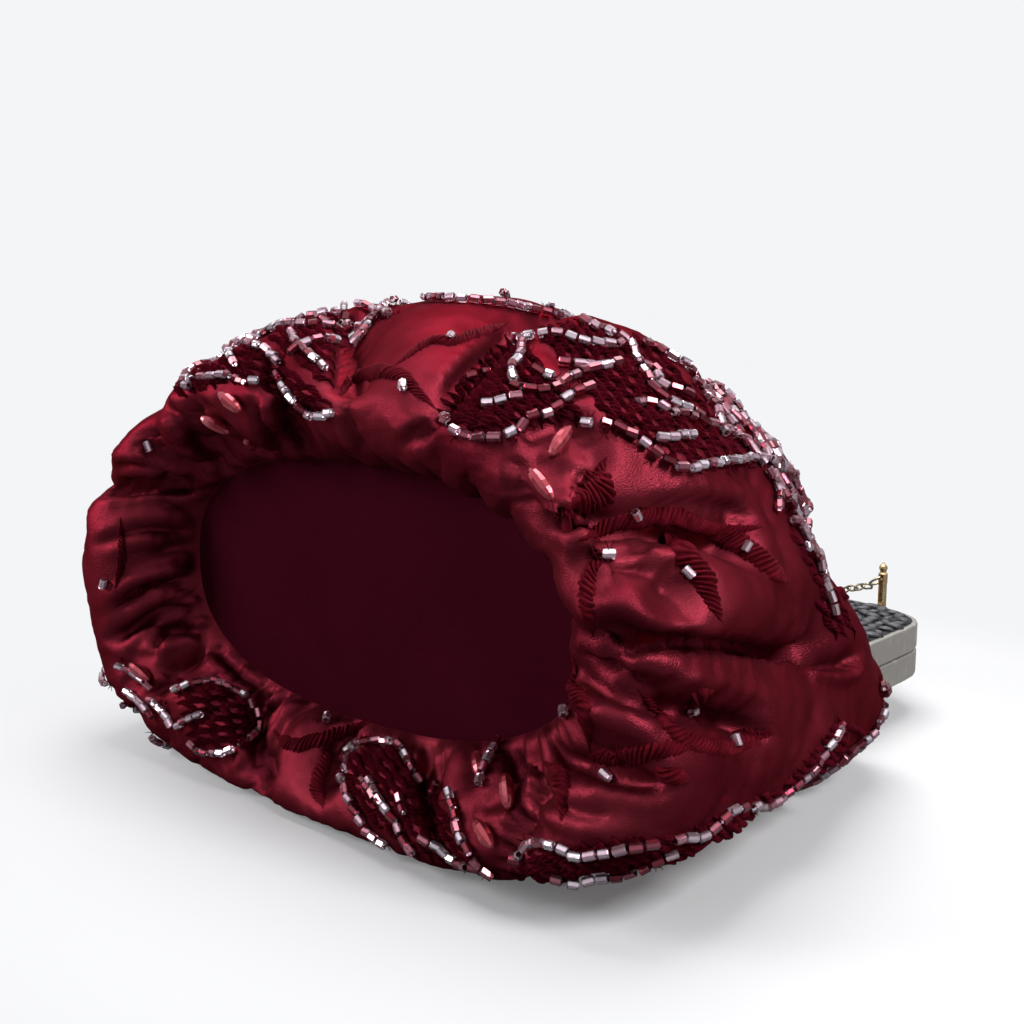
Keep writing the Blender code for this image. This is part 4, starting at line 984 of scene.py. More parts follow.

# %% [markdown]
# ## Body, neck and windows
# The real body satin runs on over the neck and into the frame, and the same satin closes the
# windows of the frame. Here the body keeps the hem where the gathers end, and a sheet for each
# half of the frame starts inside that hem. The back sheet goes with the back half of the frame,
# and the front sheet is a separate piece that stays where it is laid.

# %% The satin skin
HEM_STATION = 0.1055
body_rows = 2 * int(np.argmin(np.abs(rows[:, 0] - HEM_STATION)))
satin = new_object("satin_skin", tube_mesh("satin_skin", fine[:body_rows + 1]), wine,
                   "back_half", ("satin_body",))
satin.data.shade_smooth()
satin_tree = bvh_of(fine)
print("satin rows", body_rows + 1, "of", len(fine), "faces", len(satin.data.polygons))


# %% Grids of points as sheets
def sheet_mesh(name, grid):
    """A flat grid moved to the given points."""
    count_rows, count_columns = grid.shape[:2]
    bm = bmesh.new()
    bmesh.ops.create_grid(bm, x_segments=count_columns - 1, y_segments=count_rows - 1, size=1.0,
                          calc_uvs=True)
    uv = bm.loops.layers.uv.verify()
    for face in bm.faces:
        for loop in face.loops:
            x, y, _ = loop.vert.co
            loop[uv].uv = ((x + 1) / 2, (y + 1) / 2)
    for v in bm.verts:
        c = round((v.co.x + 1) / 2 * (count_columns - 1))
        r = round((v.co.y + 1) / 2 * (count_rows - 1))
        v.co = grid[r, c]
    return to_mesh(bm, name)


# %% Satin at the neck and in the frame's windows
SHEET_GAP, DEEPER_TUCK, BLEND_LENGTH = 0.0009, 0.0045, 0.004
WINDOW_HALF, WINDOW_RISE = 0.0462, 0.0055
# Stations along the bag where the sheet begins, clears the hem, reaches the frame and its window
TUCK_START, HEM_CLEARED, MOUTH, WINDOW, WINDOW_LENGTH = 0.1030, 0.1075, 0.1145, 0.1175, 0.0285


def neck_sheet(name, side):
    """The satin of one half, from inside the hem through the neck to across the window."""
    stations = np.concatenate([np.linspace(TUCK_START, MOUTH, 14), np.linspace(0.1155, 0.1458, 40)])
    across = np.linspace(-1, 1, 130)
    grid = np.zeros((len(stations), len(across), 3))
    for r, station in enumerate(stations):
        if station <= MOUTH:
            row = np.array([np.interp(station, rows[:, 0][60:], rows[:, k][60:]) for k in range(7)])
            tucked = SHEET_GAP + DEEPER_TUCK * max(HEM_CLEARED - station, 0) / BLEND_LENGTH
            half = row[1] - tucked
            reach_ = (row[3] if side > 0 else row[4]) - SHEET_GAP - tucked / 3
            waist, n = row[2], NECK_POWER
        else:
            settle = min((station - MOUTH) / BLEND_LENGTH, 1.0)
            half = mix(NECK_HALF_LENGTH - SHEET_GAP, WINDOW_HALF, settle)
            reach_ = mix(NECK_HALF_HEIGHT - SHEET_GAP, WINDOW_RISE, settle)
            waist, n = PARTING, mix(NECK_POWER, 12.0, settle)
        x = half * across
        height = reach_ * (1 - np.minimum(np.abs(across), 0.9999) ** n) ** (1 / n)
        ripple = 0.00045 * np.sin(2 * np.pi * across * half / 0.0058 + 1.3 * np.sin(station * 160))
        swell = 0.0
        if station > WINDOW:
            t = (station - WINDOW) / WINDOW_LENGTH
            swell = 0.0013 * math.sin(math.pi * min(t, 1)) ** 0.6 * (1 - across ** 6)
            ripple = ripple * (1 - across ** 8)
        grid[r, :, 0] = x
        grid[r, :, 1] = station + BASE_PLANE
        grid[r, :, 2] = waist + side * (height + swell + ripple * min(1, reach_ / 0.004))
    piece = new_object(name, sheet_mesh(name, grid), wine)
    piece.data.shade_smooth()
    return piece


back_neck = neck_sheet("back_neck_satin", -1)
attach(back_neck, "back_half")
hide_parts("back_satin_panel")
front_neck = neck_sheet("front_neck_satin", 1)
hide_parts("front_satin_panel")
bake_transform(front_neck)

# %% [markdown]
# ## Lining
# A real lining is a loose bag of thin satin inside the body. It can only be seen through the open
# frame, so it is a smooth cup set in from the outer satin and closed towards the board.

# %% Lining
inner = skin - normals * np.interp(np.arange(ROWS), [0, 16, 60, 78, ROWS - 1],
                                   [0.017, 0.020, 0.018, 0.0075, 0.0018])[:, None, None]
inner[..., 2] = np.maximum(inner[..., 2], 0.0045)
LINING_START = 0.010
first = [i for i in range(ROWS) if rows[i, 0] > LINING_START and i > 20][0]
cup = inner[first:]
middle = cup[0].mean(axis=0)
floor_rows = [middle + (cup[0] - middle) * share + np.array([0, -0.004 * (1 - share), 0])
              for share in (0.30, 0.50, 0.70, 0.85, 0.96)]
cup = np.concatenate([np.array(floor_rows), cup])[:, ::3]
lining = new_object("lining_cup", tube_mesh("lining_cup", cup), lining_satin, "back_half",
                    ("satin_lining",))
lining.data.shade_smooth()

# %% [markdown]
# ## Beads
# The real beads are short bugles: cut glass tubes, hexagonal outside, with a silvered hole, in
# clear, rose and dark red glass. They could be instanced on a curve, but that would put them all
# at even steps like a chain. Each bead here is laid on the satin on its own, with a small turn and
# a tone of its own that the glass reads, and a few are left out, as on a worn strand. One bead is
# a bevelled six-sided tube with a bore, of a few dozen faces, since there are many hundreds.

# %% One cut bead
def make_bead(name, length, radius, hole, rim, sides):
    """A cut tube with bevelled ends and a bore, whose wall is the silver lining."""
    bm = bmesh.new()
    bmesh.ops.create_cone(bm, cap_ends=True, segments=sides, radius1=radius, radius2=radius,
                          depth=length)
    bm.normal_update()
    caps = [f for f in bm.faces if abs(f.normal.z) > 0.9]
    bmesh.ops.bevel(bm, geom=list({e for f in caps for e in f.edges}), offset=rim, segments=1,
                    profile=0.5, affect="EDGES", material=-1)
    bm.normal_update()
    caps = [f for f in bm.faces if abs(f.normal.z) > 0.99]
    bmesh.ops.inset_individual(bm, faces=caps, thickness=radius * 0.866 - rim - hole)
    bm.normal_update()
    caps = [f for f in bm.faces if abs(f.normal.z) > 0.99 and len(f.verts) == sides]
    ring = [e for f in caps for e in f.edges]
    bmesh.ops.delete(bm, geom=caps, context="FACES_ONLY")
    wall = bmesh.ops.bridge_loops(bm, edges=ring)["faces"]
    for f in wall:
        f.material_index = 1
    bmesh.ops.recalc_face_normals(bm, faces=bm.faces)
    return to_mesh(bm, name)


BEAD_LENGTH, BEAD_RADIUS, BEAD_PITCH = 0.0025, 0.00094, 0.00268
unit_bead = make_bead("cut_bead", BEAD_LENGTH, BEAD_RADIUS, 0.00050, 0.00014, 6)
print("bead faces", len(unit_bead.polygons))


def satin_hit(px, py):
    """The place on the satin that the camera sees at a pixel, and its outward direction."""
    hit, normal, _, _ = satin_tree.ray_cast(CAMERA_PLACE, sight(px, py))
    if hit is None:
        return None
    return hit, (-normal if normal.dot(hit - CAMERA_PLACE) > 0 else normal)


def satin_near(point, out):
    """The satin nearest to a point, with its outward direction."""
    hit, normal, _, _ = satin_tree.find_nearest(point)
    return hit, (-normal if normal.dot(out) < 0 else normal)


def picture_path(pixels, every=2.0):
    """A line in the picture laid on the satin, without jumps over a fold."""
    found = []
    for p in smooth_path([(x, y, 0) for x, y in pixels], every):
        hit = satin_hit(p.x, p.y)
        if hit and (not found or (hit[0] - found[-1][0]).length < FOLD_JUMP):
            found.append(hit)
    return found


def evenly(path, pitch):
    """Places a pitch apart along a path on the satin: point, outward direction, heading."""
    if len(path) < 2:
        return []
    P = np.array([tuple(p) for p, _ in path])
    N = np.array([tuple(n) for _, n in path])
    for _ in range(2):
        N[1:-1] = (N[:-2] + N[1:-1] + N[2:]) / 3
        P[1:-1] = (P[:-2] + 2 * P[1:-1] + P[2:]) / 4
    run = np.concatenate([[0], np.cumsum(np.linalg.norm(np.diff(P, axis=0), axis=1))])

    def read(values, reached):
        return Vector([np.interp(reached, run, values[:, i]) for i in range(3)])

    found = []
    for k in range(max(int(run[-1] / pitch), 1)):
        middle = (k + 0.5) * pitch
        if middle > run[-1]:
            break
        heading = read(P, middle + pitch / 2) - read(P, middle - pitch / 2)
        if heading.length > 1e-6:
            found.append((read(P, middle), read(N, middle).normalized(), heading.normalized()))
    return found


bead_chance = random.Random(11)
bead_places = []


DARK_TONES, ALL_TONES, MISSING, THREAD_LIFT = (0.0, 0.8), (0.05, 1.1), 0.02, 0.00015


def lay_strand(path, tones=ALL_TONES):
    """Threads beads along a path, each with its own turn and tone, and a few missing."""
    for point, out, heading in evenly(path, BEAD_PITCH):
        if bead_chance.random() < MISSING:
            continue
        point, up = satin_near(point, out)
        out = (out + 2 * up).normalized()
        heading = (heading - out * heading.dot(out)).normalized()
        side = out.cross(heading).normalized()
        heading += side * bead_chance.gauss(0, 0.11) + out * bead_chance.gauss(0, 0.06)
        heading.normalize()
        centre = point + out * (BEAD_RADIUS + THREAD_LIFT + abs(bead_chance.gauss(0, 0.0001)))
        roll, tone_ = bead_chance.uniform(0, math.pi), bead_chance.uniform(*tones)
        if centre.z > 1.2 * BEAD_RADIUS:  # not where the table would be
            bead_places.append((centre, heading, out, roll, tone_))


for name, pixels in STRANDS.items():
    lay_strand(picture_path(pixels), DARK_TONES if name in "DEH" else ALL_TONES)
SINGLES = [(634, 513), (688, 573), (746, 549), (609, 555), (566, 714), (689, 714), (732, 742),
           (609, 774), (450, 340), (404, 388), (327, 720), (150, 446), (105, 583)]
for px, py in SINGLES:
    hit = satin_hit(px, py)
    if hit:
        any_way = Vector([bead_chance.gauss(0, 1) for _ in range(3)])
        heading = hit[1].cross(any_way).normalized()
        bead_places.append((hit[0] + hit[1] * 0.0009, heading, hit[1], 0.0, 0.8))


# %% Strands on the sides that the picture doesn't show
def local_path(centre, out, heading, curve):
    """A curve given in a patch's own plane, laid on the satin."""
    side = out.cross(heading).normalized()
    return [satin_near(centre + heading * u + side * v, out) for u, v in curve]


SPRAY = [(-1.05, 0.82), (0.0, 1.0), (0.95, 0.88)]
LEAF_LENGTH, LEAF_WIDTH, SPRAY_FOOT = 0.031, 0.0135, -0.011


def leaf_half(t):
    """Half the width of a leaf at a share of its length, for a width of one."""
    return 0.5 * max(math.sin(math.pi * t), 0.0) ** 0.8 * (1.15 - 0.35 * t)


def on_leaf(lean, size, t, across):
    """A place on one leaf of the spray: its share along, and -1 to 1 across."""
    u, v = LEAF_LENGTH * size * t, LEAF_WIDTH * size * leaf_half(t) * across
    return (SPRAY_FOOT + u * math.cos(lean) - v * math.sin(lean),
            u * math.sin(lean) + v * math.cos(lean))


patch_frames = []
for number, q in enumerate(hidden_patches):
    gap = np.linalg.norm(skin - q, axis=2)
    r, c = np.unravel_index(np.argmin(gap), gap.shape)
    out = Vector(normals[r, c])
    along = Vector(skin[min(r + 2, ROWS - 1), c] - skin[r - 2, c]).normalized()
    spin = Matrix.Rotation(bead_chance.uniform(-0.9, 0.9) + (math.pi if number % 2 else 0), 3, out)
    heading = (spin @ along).normalized()
    centre = satin_near(Vector(q), out)[0]
    patch_frames.append((centre, out, heading))
    for lean, size in SPRAY:
        for across in (-1, 1):
            edge = [on_leaf(lean, size, i / 30, across) for i in range(31)]
            lay_strand(local_path(centre, out, heading, edge))
        vein = [on_leaf(lean, size, 0.16 + 0.6 * i / 20, 0.25) for i in range(21)]
        lay_strand(local_path(centre, out, heading, vein), DARK_TONES)
    sweep = [(-0.030 + 0.060 * t, 0.017 + 0.006 * math.sin(5 * t))
             for t in [i / 30 for i in range(31)]]
    lay_strand(local_path(centre, out, heading, sweep))
    lay_strand(local_path(centre, out, heading, [(u * 0.9, -v - 0.001) for u, v in sweep]))
print("beads", len(bead_places), "seconds", round(time.time() - clock, 1))


# %% All beads as one piece
copy_chance = random.Random(31)


def verts_of(geometry):
    return [g for g in geometry if isinstance(g, bmesh.types.BMVert)]


def copies(name, unit, places, material_list, spread_=0.0):
    """Copies of a unit mesh at (centre, heading, outward, roll, tone), some a little shorter."""
    bm = bmesh.new()
    bm.from_mesh(unit)
    tone = bm.verts.layers.float.new("tone")
    source = bm.verts[:] + bm.edges[:] + bm.faces[:]
    for centre, heading, out, roll, value in places:
        made = bmesh.ops.duplicate(bm, geom=source)["geom"]
        verts = verts_of(made)
        side = out.cross(heading).normalized()
        turn_ = Matrix((side, heading.cross(side), heading)).transposed().to_4x4()
        size = Matrix.Diagonal((1, 1, mix(1 - spread_, 1.04, copy_chance.random()), 1))
        placed = Matrix.Translation(centre) @ turn_ @ Matrix.Rotation(roll, 4, "Z") @ size
        bmesh.ops.transform(bm, matrix=placed, verts=verts)
        for v in verts:
            v[tone] = value
    bmesh.ops.delete(bm, geom=verts_of(source), context="VERTS")
    mesh = to_mesh(bm, name)
    for m in material_list:
        mesh.materials.append(m)
    return mesh


bead_mesh = copies("bead_strands", unit_bead, bead_places, [bead_glass, bead_lining], 0.22)
beads = new_object("bead_strands", bead_mesh, None, "back_half")
print("bead mesh faces", len(beads.data.polygons), "seconds", round(time.time() - clock, 1))

# %% [markdown]
# ## Embroidery
# The real work is of two kinds, both in thread of the satin's colour: thick satin stitch, with
# threads side by side across a stem or leaf, and a looped, chenille-like filling between the
# beads. They could be a pattern in the material, but both stand a millimetre proud and catch the
# light. A band is laid along a line on the satin, and its height rises and falls once a thread.

# %% Satin-stitch ridges
RIDGES = [
    (2.0, [(577, 541), (616, 523), (648, 519), (679, 519), (705, 528), (735, 530), (765, 526)]),
    (2.6, [(607, 460), (590, 495), (557, 519)]),
    (2.8, [(679, 543), (700, 575), (720, 621)]),
    (2.4, [(705, 528), (748, 549), (787, 582)]),
    (1.7, [(609, 556), (592, 571), (586, 604), (592, 636)]),
    (1.7, [(562, 640), (585, 634), (614, 643), (638, 656)]),
    (1.7, [(573, 656), (562, 676), (580, 698), (587, 727), (589, 750)]),
    (1.9, [(589, 756), (629, 756), (665, 750), (696, 747)]),
    (2.6, [(660, 767), (683, 785)]),
    (2.2, [(730, 739), (774, 734)]),
    (2.2, [(683, 705), (710, 694)]),
    (1.8, [(544, 761), (560, 774), (562, 801), (560, 823)]),
    (1.9, [(339, 395), (353, 379), (378, 372), (401, 376), (415, 390), (435, 409)]),
    (1.4, [(392, 367), (429, 342), (452, 342), (474, 335), (507, 324)]),
    (1.2, [(121, 519), (122, 555), (115, 588)]),
    (1.7, [(115, 606), (143, 588), (175, 578)]),
    (1.8, [(331, 748), (324, 767), (317, 785), (322, 808)]),
    (1.8, [(274, 730), (292, 744), (329, 737), (382, 718)]),
    (2.2, [(590, 470), (603, 480), (600, 500), (585, 512)]),
    (1.6, [(640, 690), (680, 735), (720, 748), (760, 745)]),
]
stitch_chance = random.Random(23)


def stitch_band(bm, path, half_width, height, thread_pitch=0.00105, leaf=True, samples=5,
                columns=9):
    """A ridge of thick threads side by side across a line on the satin, pointed like a leaf."""
    places = evenly(path, thread_pitch / samples)
    if len(places) < 2 * samples:
        return
    count = len(places)
    made = bmesh.ops.create_grid(bm, x_segments=columns - 1, y_segments=count - 1,
                                 size=1.0)["verts"]
    widths = [stitch_chance.uniform(0.84, 1.1) for _ in range(count // samples + 2)]
    for v in made:
        across = v.co.x
        k = round((v.co.y + 1) / 2 * (count - 1))
        point, out, heading = places[k]
        side = out.cross(heading).normalized()
        t = k / (count - 1)
        bar = math.sin(math.pi * (k % samples) / samples) ** 0.7
        narrow = math.sin(math.pi * t) ** 0.6 if leaf else min(1.0, t / 0.1, (1 - t) / 0.1) ** 0.5
        narrow = max(narrow, 0.15) * widths[k // samples] * (0.86 + 0.14 * bar)
        bulge = max(1 - abs(across) ** 2.6, 0) ** 0.6
        rise = height * min(narrow, 1.0) * (1 - 0.8 * (1 - bar))
        lean = thread_pitch * 1.3 * across
        under, up = satin_near(point + side * (half_width * across * narrow) + heading * lean, out)
        v.co = under + (up + out).normalized() * (rise * bulge - 0.0003 * (1 - bulge))
        v.co.z = max(v.co.z, 0.0002)


def crossing(polygon, spacing, angle):
    """Runs of parallel lines across a polygon in the picture."""
    turn_ = np.array([[math.cos(angle), math.sin(angle)], [-math.sin(angle), math.cos(angle)]])
    P = np.array(polygon, float) @ turn_.T
    runs = []
    low, high = P[:, 1].min(), P[:, 1].max()
    y = low + spacing / 2
    while y < high:
        xs = []
        for (x0, y0), (x1, y1) in zip(P, np.roll(P, -1, axis=0)):
            if (y0 > y) != (y1 > y):
                xs.append(x0 + (x1 - x0) * (y - y0) / (y1 - y0))
        xs.sort()
        for a, b in zip(xs[::2], xs[1::2]):
            if b - a > 8:
                count = max(int((b - a) / 6), 2)
                line = np.stack([np.linspace(a + 2, b - 2, count), np.full(count, y)], 1)
                line[:, 1] += 2.2 * np.sin(line[:, 0] * 0.30 + 2.0 * y)
                runs.append([tuple(q) for q in line @ turn_])
        y += spacing
    return runs


def chenille_bar(path):
    """One looped row of the filling."""
    stitch_band(bm, path, 0.0011, 0.0011, 0.0011, leaf=False, samples=4, columns=5)


bm = bmesh.new()
for half, pixels in RIDGES:
    stitch_band(bm, picture_path(pixels), 1.2 * half / 1000, 0.00115 + 0.00008 * half)
for centre, out, heading in patch_frames:
    for k in range(3):
        bend = stitch_chance.uniform(-0.006, 0.006)
        u0, v0 = stitch_chance.uniform(-0.02, 0.02), stitch_chance.uniform(-0.026, 0.026)
        line = [(u0 + 0.016 * (t - 0.5), v0 + bend * math.sin(math.pi * t))
                for t in [i / 20 for i in range(21)]]
        stitch_band(bm, local_path(centre, out, heading, line),
                    stitch_chance.uniform(0.0018, 0.0032), 0.0011)
ridges = to_mesh(bm, "satin_stitch", smooth=True)
bm = bmesh.new()
CHENILLE_SPACING, CHENILLE_TURNS = 8.5, (0.9, 0.7, 1.1, 0.5, 1.0, 0.4)
for polygon, angle in zip(PATCHES, CHENILLE_TURNS):
    for run in crossing(polygon, CHENILLE_SPACING, angle):
        chenille_bar(picture_path(run, 3.0))
for centre, out, heading in patch_frames:
    for lean, size in SPRAY:
        for k in range(13):
            line = [on_leaf(lean, size, (k + 1) / 14 + 0.02 * math.sin(3 * a), 0.9 * a)
                    for a in np.linspace(-1, 1, 11)]
            chenille_bar(local_path(centre, out, heading, line))
infill = to_mesh(bm, "chenille_infill", smooth=True)
new_object("chenille_infill", infill, dark_thread, "back_half")
print("infill faces", len(infill.polygons))
new_object("satin_stitch_ridges", ridges, thread, "back_half")
print("ridge faces", len(ridges.polygons), "seconds", round(time.time() - clock, 1))

# %% [markdown]
# ## Thread ends
# Beside the strands the real thread stands up in short loops and ends, which makes the edge of the
# beadwork look furry. Hair would do, but it doesn't reach the exported mesh, so each tuft is a few
# thin bent cones of a dozen faces.

# %% Loose thread ends between the beads
TUFT_LENGTH, TUFT_ROOT, TUFT_TIP, TUFT_SHARE = 0.0020, 0.00016, 0.00007, 0.55


def unit_tuft():
    """A few short bent thread ends that stand up from one place."""
    bm = bmesh.new()
    for k in range(5):
        made = bmesh.ops.create_cone(bm, cap_ends=True, segments=3, radius1=TUFT_ROOT,
                                     radius2=TUFT_TIP, depth=TUFT_LENGTH)["verts"]
        bmesh.ops.translate(bm, vec=(0, 0, TUFT_LENGTH / 2), verts=made)
        for angle, axis in ((0.45 + 0.12 * k, "Y"), (1.26 * k, "Z")):
            bmesh.ops.rotate(bm, cent=(0, 0, 0), matrix=Matrix.Rotation(angle, 3, axis),
                             verts=made)
    return to_mesh(bm, "tuft")


tuft_chance = random.Random(41)
tuft_places = []
for centre, heading, out, roll, tone in bead_places:
    if tuft_chance.random() < TUFT_SHARE:
        side = out.cross(heading)
        way = 1 if tuft_chance.random() < 0.5 else -1
        foot, up = satin_near(centre + side * way * tuft_chance.uniform(0.0010, 0.0019), out)
        roll = tuft_chance.uniform(0, 6.28)
        if foot.z + TUFT_LENGTH * up.z > 0.0004:
            tuft_places.append((foot - up * 0.0002, up, heading, roll, 0.5))
tuft_mesh = copies("thread_ends", unit_tuft(), tuft_places, [dark_thread], 0.45)
tufts = new_object("thread_ends", tuft_mesh, None, "back_half")
print("tufts", len(tuft_places), "faces", len(tufts.data.polygons))

# %% [markdown]
# ## Frame ornament
# The real faces of the frame are cast: overlapping leaves, dull silver on their backs and black in
# between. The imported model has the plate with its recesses. The leaves are laid on it in five rows
# along the arch, each a flattened sphere with a vein pressed in, and each at a slightly different
# size and turn. How high a point stands is kept with it, for the finish to darken the low places.

# %% Cast leaves on the frame's faces
QUARTER_Y = Matrix.Rotation(math.pi / 2, 3, "Y")
FRAME_HALF_WIDTH, ARM_LENGTH, ARCH_RISE, ARCH_POWER = 0.066, 0.032, 0.026, 2.8
LEAF_SIZE, LEAF_PITCH, ROWS_START = (0.0034, 0.0017, 0.0015), 0.0046, 0.0075
ROW_INSETS = (0.0040, 0.0078, 0.0117, 0.0157, 0.0197)


def arch_points(inset, start, step):
    """Points along the arch of the frame, that far in from its outer edge."""
    half, rise = FRAME_HALF_WIDTH - inset, ARCH_RISE - inset
    points = [(half, start)]
    for i in range(61):
        a = math.pi * i / 60
        points.append((half * math.copysign(abs(math.cos(a)) ** (2 / ARCH_POWER), math.cos(a)),
                       ARM_LENGTH + rise * abs(math.sin(a)) ** (2 / ARCH_POWER)))
    points.append((-half, start))
    return smooth_path([(x, y, 0) for x, y in points], step)


def unit_leaf():
    """A flattened sphere, pointed at one end, with a vein pressed in and a flat underside."""
    bm = bmesh.new()
    bmesh.ops.create_uvsphere(bm, u_segments=10, v_segments=6, radius=1.0)
    bmesh.ops.rotate(bm, cent=(0, 0, 0), matrix=QUARTER_Y, verts=bm.verts)
    for v in bm.verts:
        point_ = 1 - 0.35 * max(v.co.x, 0)
        v.co.y *= point_
        if v.co.z > 0:
            v.co.z -= 0.55 * math.exp(-(v.co.y / 0.28) ** 2) * (1 - 0.5 * abs(v.co.x))
        v.co.z = max(v.co.z, -0.3)
    raised = bm.verts.layers.float.new("raised")
    for v in bm.verts:
        v[raised] = max(v.co.z, 0.0)
    bmesh.ops.scale(bm, vec=LEAF_SIZE, verts=bm.verts)
    return to_mesh(bm, "cast_leaf", smooth=True)


leaf_mesh = unit_leaf()
leaf_chance = random.Random(5)
TRAY_DEPTH, FACE_RECESS, PLATE_CLEARANCE, LEAF_RISE = 0.0075, 0.0008, 0.0003, 0.0004
FACE_HEIGHT = TRAY_DEPTH - FACE_RECESS + PLATE_CLEARANCE + LEAF_RISE
leaf_places = []
for number, inset in enumerate(ROW_INSETS):
    line = arch_points(inset, ROWS_START, LEAF_PITCH)
    for k in range(1, len(line) - 1):
        heading = (line[k + 1] - line[k - 1]).normalized()
        angle = (0.75 if (k + number) % 2 else -0.75) + leaf_chance.gauss(0, 0.35)
        turn_ = Matrix.Rotation(angle, 3, "Z")
        leaf_places.append((line[k], turn_ @ heading, leaf_chance.uniform(0.72, 1.15)))
for side, body in ((-1, "back"), (1, "front")):
    bm = bmesh.new()
    bm.from_mesh(leaf_mesh)
    source = bm.verts[:] + bm.edges[:] + bm.faces[:]
    for place, heading, size in leaf_places:
        made = bmesh.ops.duplicate(bm, geom=source)["geom"]
        up = Vector((0, 0, 1))
        turn_ = Matrix((heading, up.cross(heading), up)).transposed().to_4x4()
        placed = Matrix.Translation(place + up * FACE_HEIGHT) @ turn_ @ Matrix.Scale(size, 4)
        bmesh.ops.transform(bm, matrix=placed, verts=verts_of(made))
    bmesh.ops.delete(bm, geom=verts_of(source), context="VERTS")
    bmesh.ops.scale(bm, vec=(1, 1, side), verts=bm.verts)
    bmesh.ops.translate(bm, vec=(0, HINGE_Y, PARTING), verts=bm.verts)
    bmesh.ops.recalc_face_normals(bm, faces=bm.faces)
    new_object(body + "_cast_leaves", to_mesh(bm, body + "_leaves"), leaf_silver, body + "_half")
print("leaves", len(leaf_places))

# %% [markdown]
# ## Chain
# The real chain is made of small oval links of brass wire, each turned a quarter against the next.
# It hangs from a ring in each post and lies loose on the table behind the bag. One link is a wire
# circle swept round and pulled apart to an oval. The links follow a route over the frame and along
# the table, and the whole chain is one piece that goes with the back half.

# %% Chain links
CHAIN_ROUTE = [
    (0.0423, 0.1680, 0.0306), (0.0370, 0.1692, 0.0292), (0.0315, 0.1708, 0.0270),
    (0.0260, 0.1733, 0.0232), (0.0205, 0.1768, 0.0182), (0.0150, 0.1815, 0.0126),
    (0.0092, 0.1872, 0.0074), (0.0035, 0.1938, 0.0038), (-0.0005, 0.2020, 0.0021),
    (-0.0010, 0.2140, 0.0015), (-0.0070, 0.2270, 0.0015), (-0.0200, 0.2330, 0.0015),
    (-0.0320, 0.2260, 0.0015), (-0.0350, 0.2130, 0.0015), (-0.0430, 0.2040, 0.0015),
    (-0.0550, 0.2060, 0.0015), (-0.0660, 0.2140, 0.0015), (-0.0780, 0.2130, 0.0015),
    (-0.0850, 0.2020, 0.0015), (-0.0820, 0.1890, 0.0019), (-0.0730, 0.1810, 0.0025),
    (-0.0620, 0.1768, 0.0048), (-0.0535, 0.1745, 0.0105), (-0.0475, 0.1728, 0.0175),
    (-0.0440, 0.1708, 0.0245), (-0.0424, 0.1682, 0.0302),
]
LINK_RADIUS, LINK_WIRE, LINK_SHIFT = 0.00112, 0.00034, 0.00062
bm = bmesh.new()
bmesh.ops.create_circle(bm, segments=6, radius=LINK_WIRE)
bmesh.ops.rotate(bm, cent=(0, 0, 0), matrix=Matrix.Rotation(math.pi / 2, 3, "X"), verts=bm.verts)
bmesh.ops.translate(bm, vec=(LINK_RADIUS, 0, 0), verts=bm.verts)
bmesh.ops.rotate(bm, cent=(0, 0, 0), matrix=Matrix.Rotation(math.pi / 12, 3, "Z"), verts=bm.verts)
bmesh.ops.spin(bm, geom=bm.verts[:] + bm.edges[:], cent=(0, 0, 0), axis=(0, 0, 1),
               angle=2 * math.pi, steps=12, use_merge=True)
bmesh.ops.remove_doubles(bm, verts=bm.verts, dist=1e-6)
for v in bm.verts:
    v.co.x += math.copysign(LINK_SHIFT, v.co.x)
bmesh.ops.rotate(bm, cent=(0, 0, 0), matrix=QUARTER_Y, verts=bm.verts)
link_mesh = to_mesh(bm, "link", smooth=True)
LINK_PITCH = 2 * (LINK_RADIUS + LINK_SHIFT) - 2 * LINK_WIRE
route = [Vector((x, y + BASE_PLANE, z)) for x, y, z in CHAIN_ROUTE]
line = smooth_path(route, LINK_PITCH)
chain_length = sum((b - a).length for a, b in zip(line, line[1:]))
link_places = []
for k in range(len(line) - 1):
    heading = (line[k + 1] - line[k]).normalized()
    out = heading.orthogonal().normalized()
    up = Vector((0, 0, 1)) - heading * heading.z
    out = up.normalized() if up.length > 0.1 else out
    link_places.append(((line[k] + line[k + 1]) / 2, heading, out,
                        math.radians(45 if k % 2 else -45), 0.5))
chain = new_object("carry_chain_links",
                   copies("carry_chain_links", link_mesh, link_places, [brass]), None,
                   "back_half", ("carry_chain",))
chain.data.shade_smooth()
print("links", len(link_places), "chain", round(chain_length, 4), "seconds",
      round(time.time() - clock, 1))

# %% [markdown]
# ## Kept pieces
# The frame, rivets, knobs, posts, rings, pearls, panel and board are shown as they were packed. On
# the real bag they are plain turned, pressed and cast shapes, so they only need their finishes.

# %% Finishes of the kept pieces
KEPT = {"satin_pewter": pewter, "aged_silver": silver, "pale_gilt": gilt, "aged_brass": brass,
        "rose_pearl": pearl_pink, "panel_cloth": panel_cloth, "board_card": board_card}
for entry in frame["record"]["subparts"]:
    kept = frame["nodes"].get(entry["node"])
    if kept is not None and entry["material_slot"] in KEPT:
        kept.data.materials.clear()
        kept.data.materials.append(KEPT[entry["material_slot"]])
        print("kept", entry["node"], "in", entry["material_slot"])
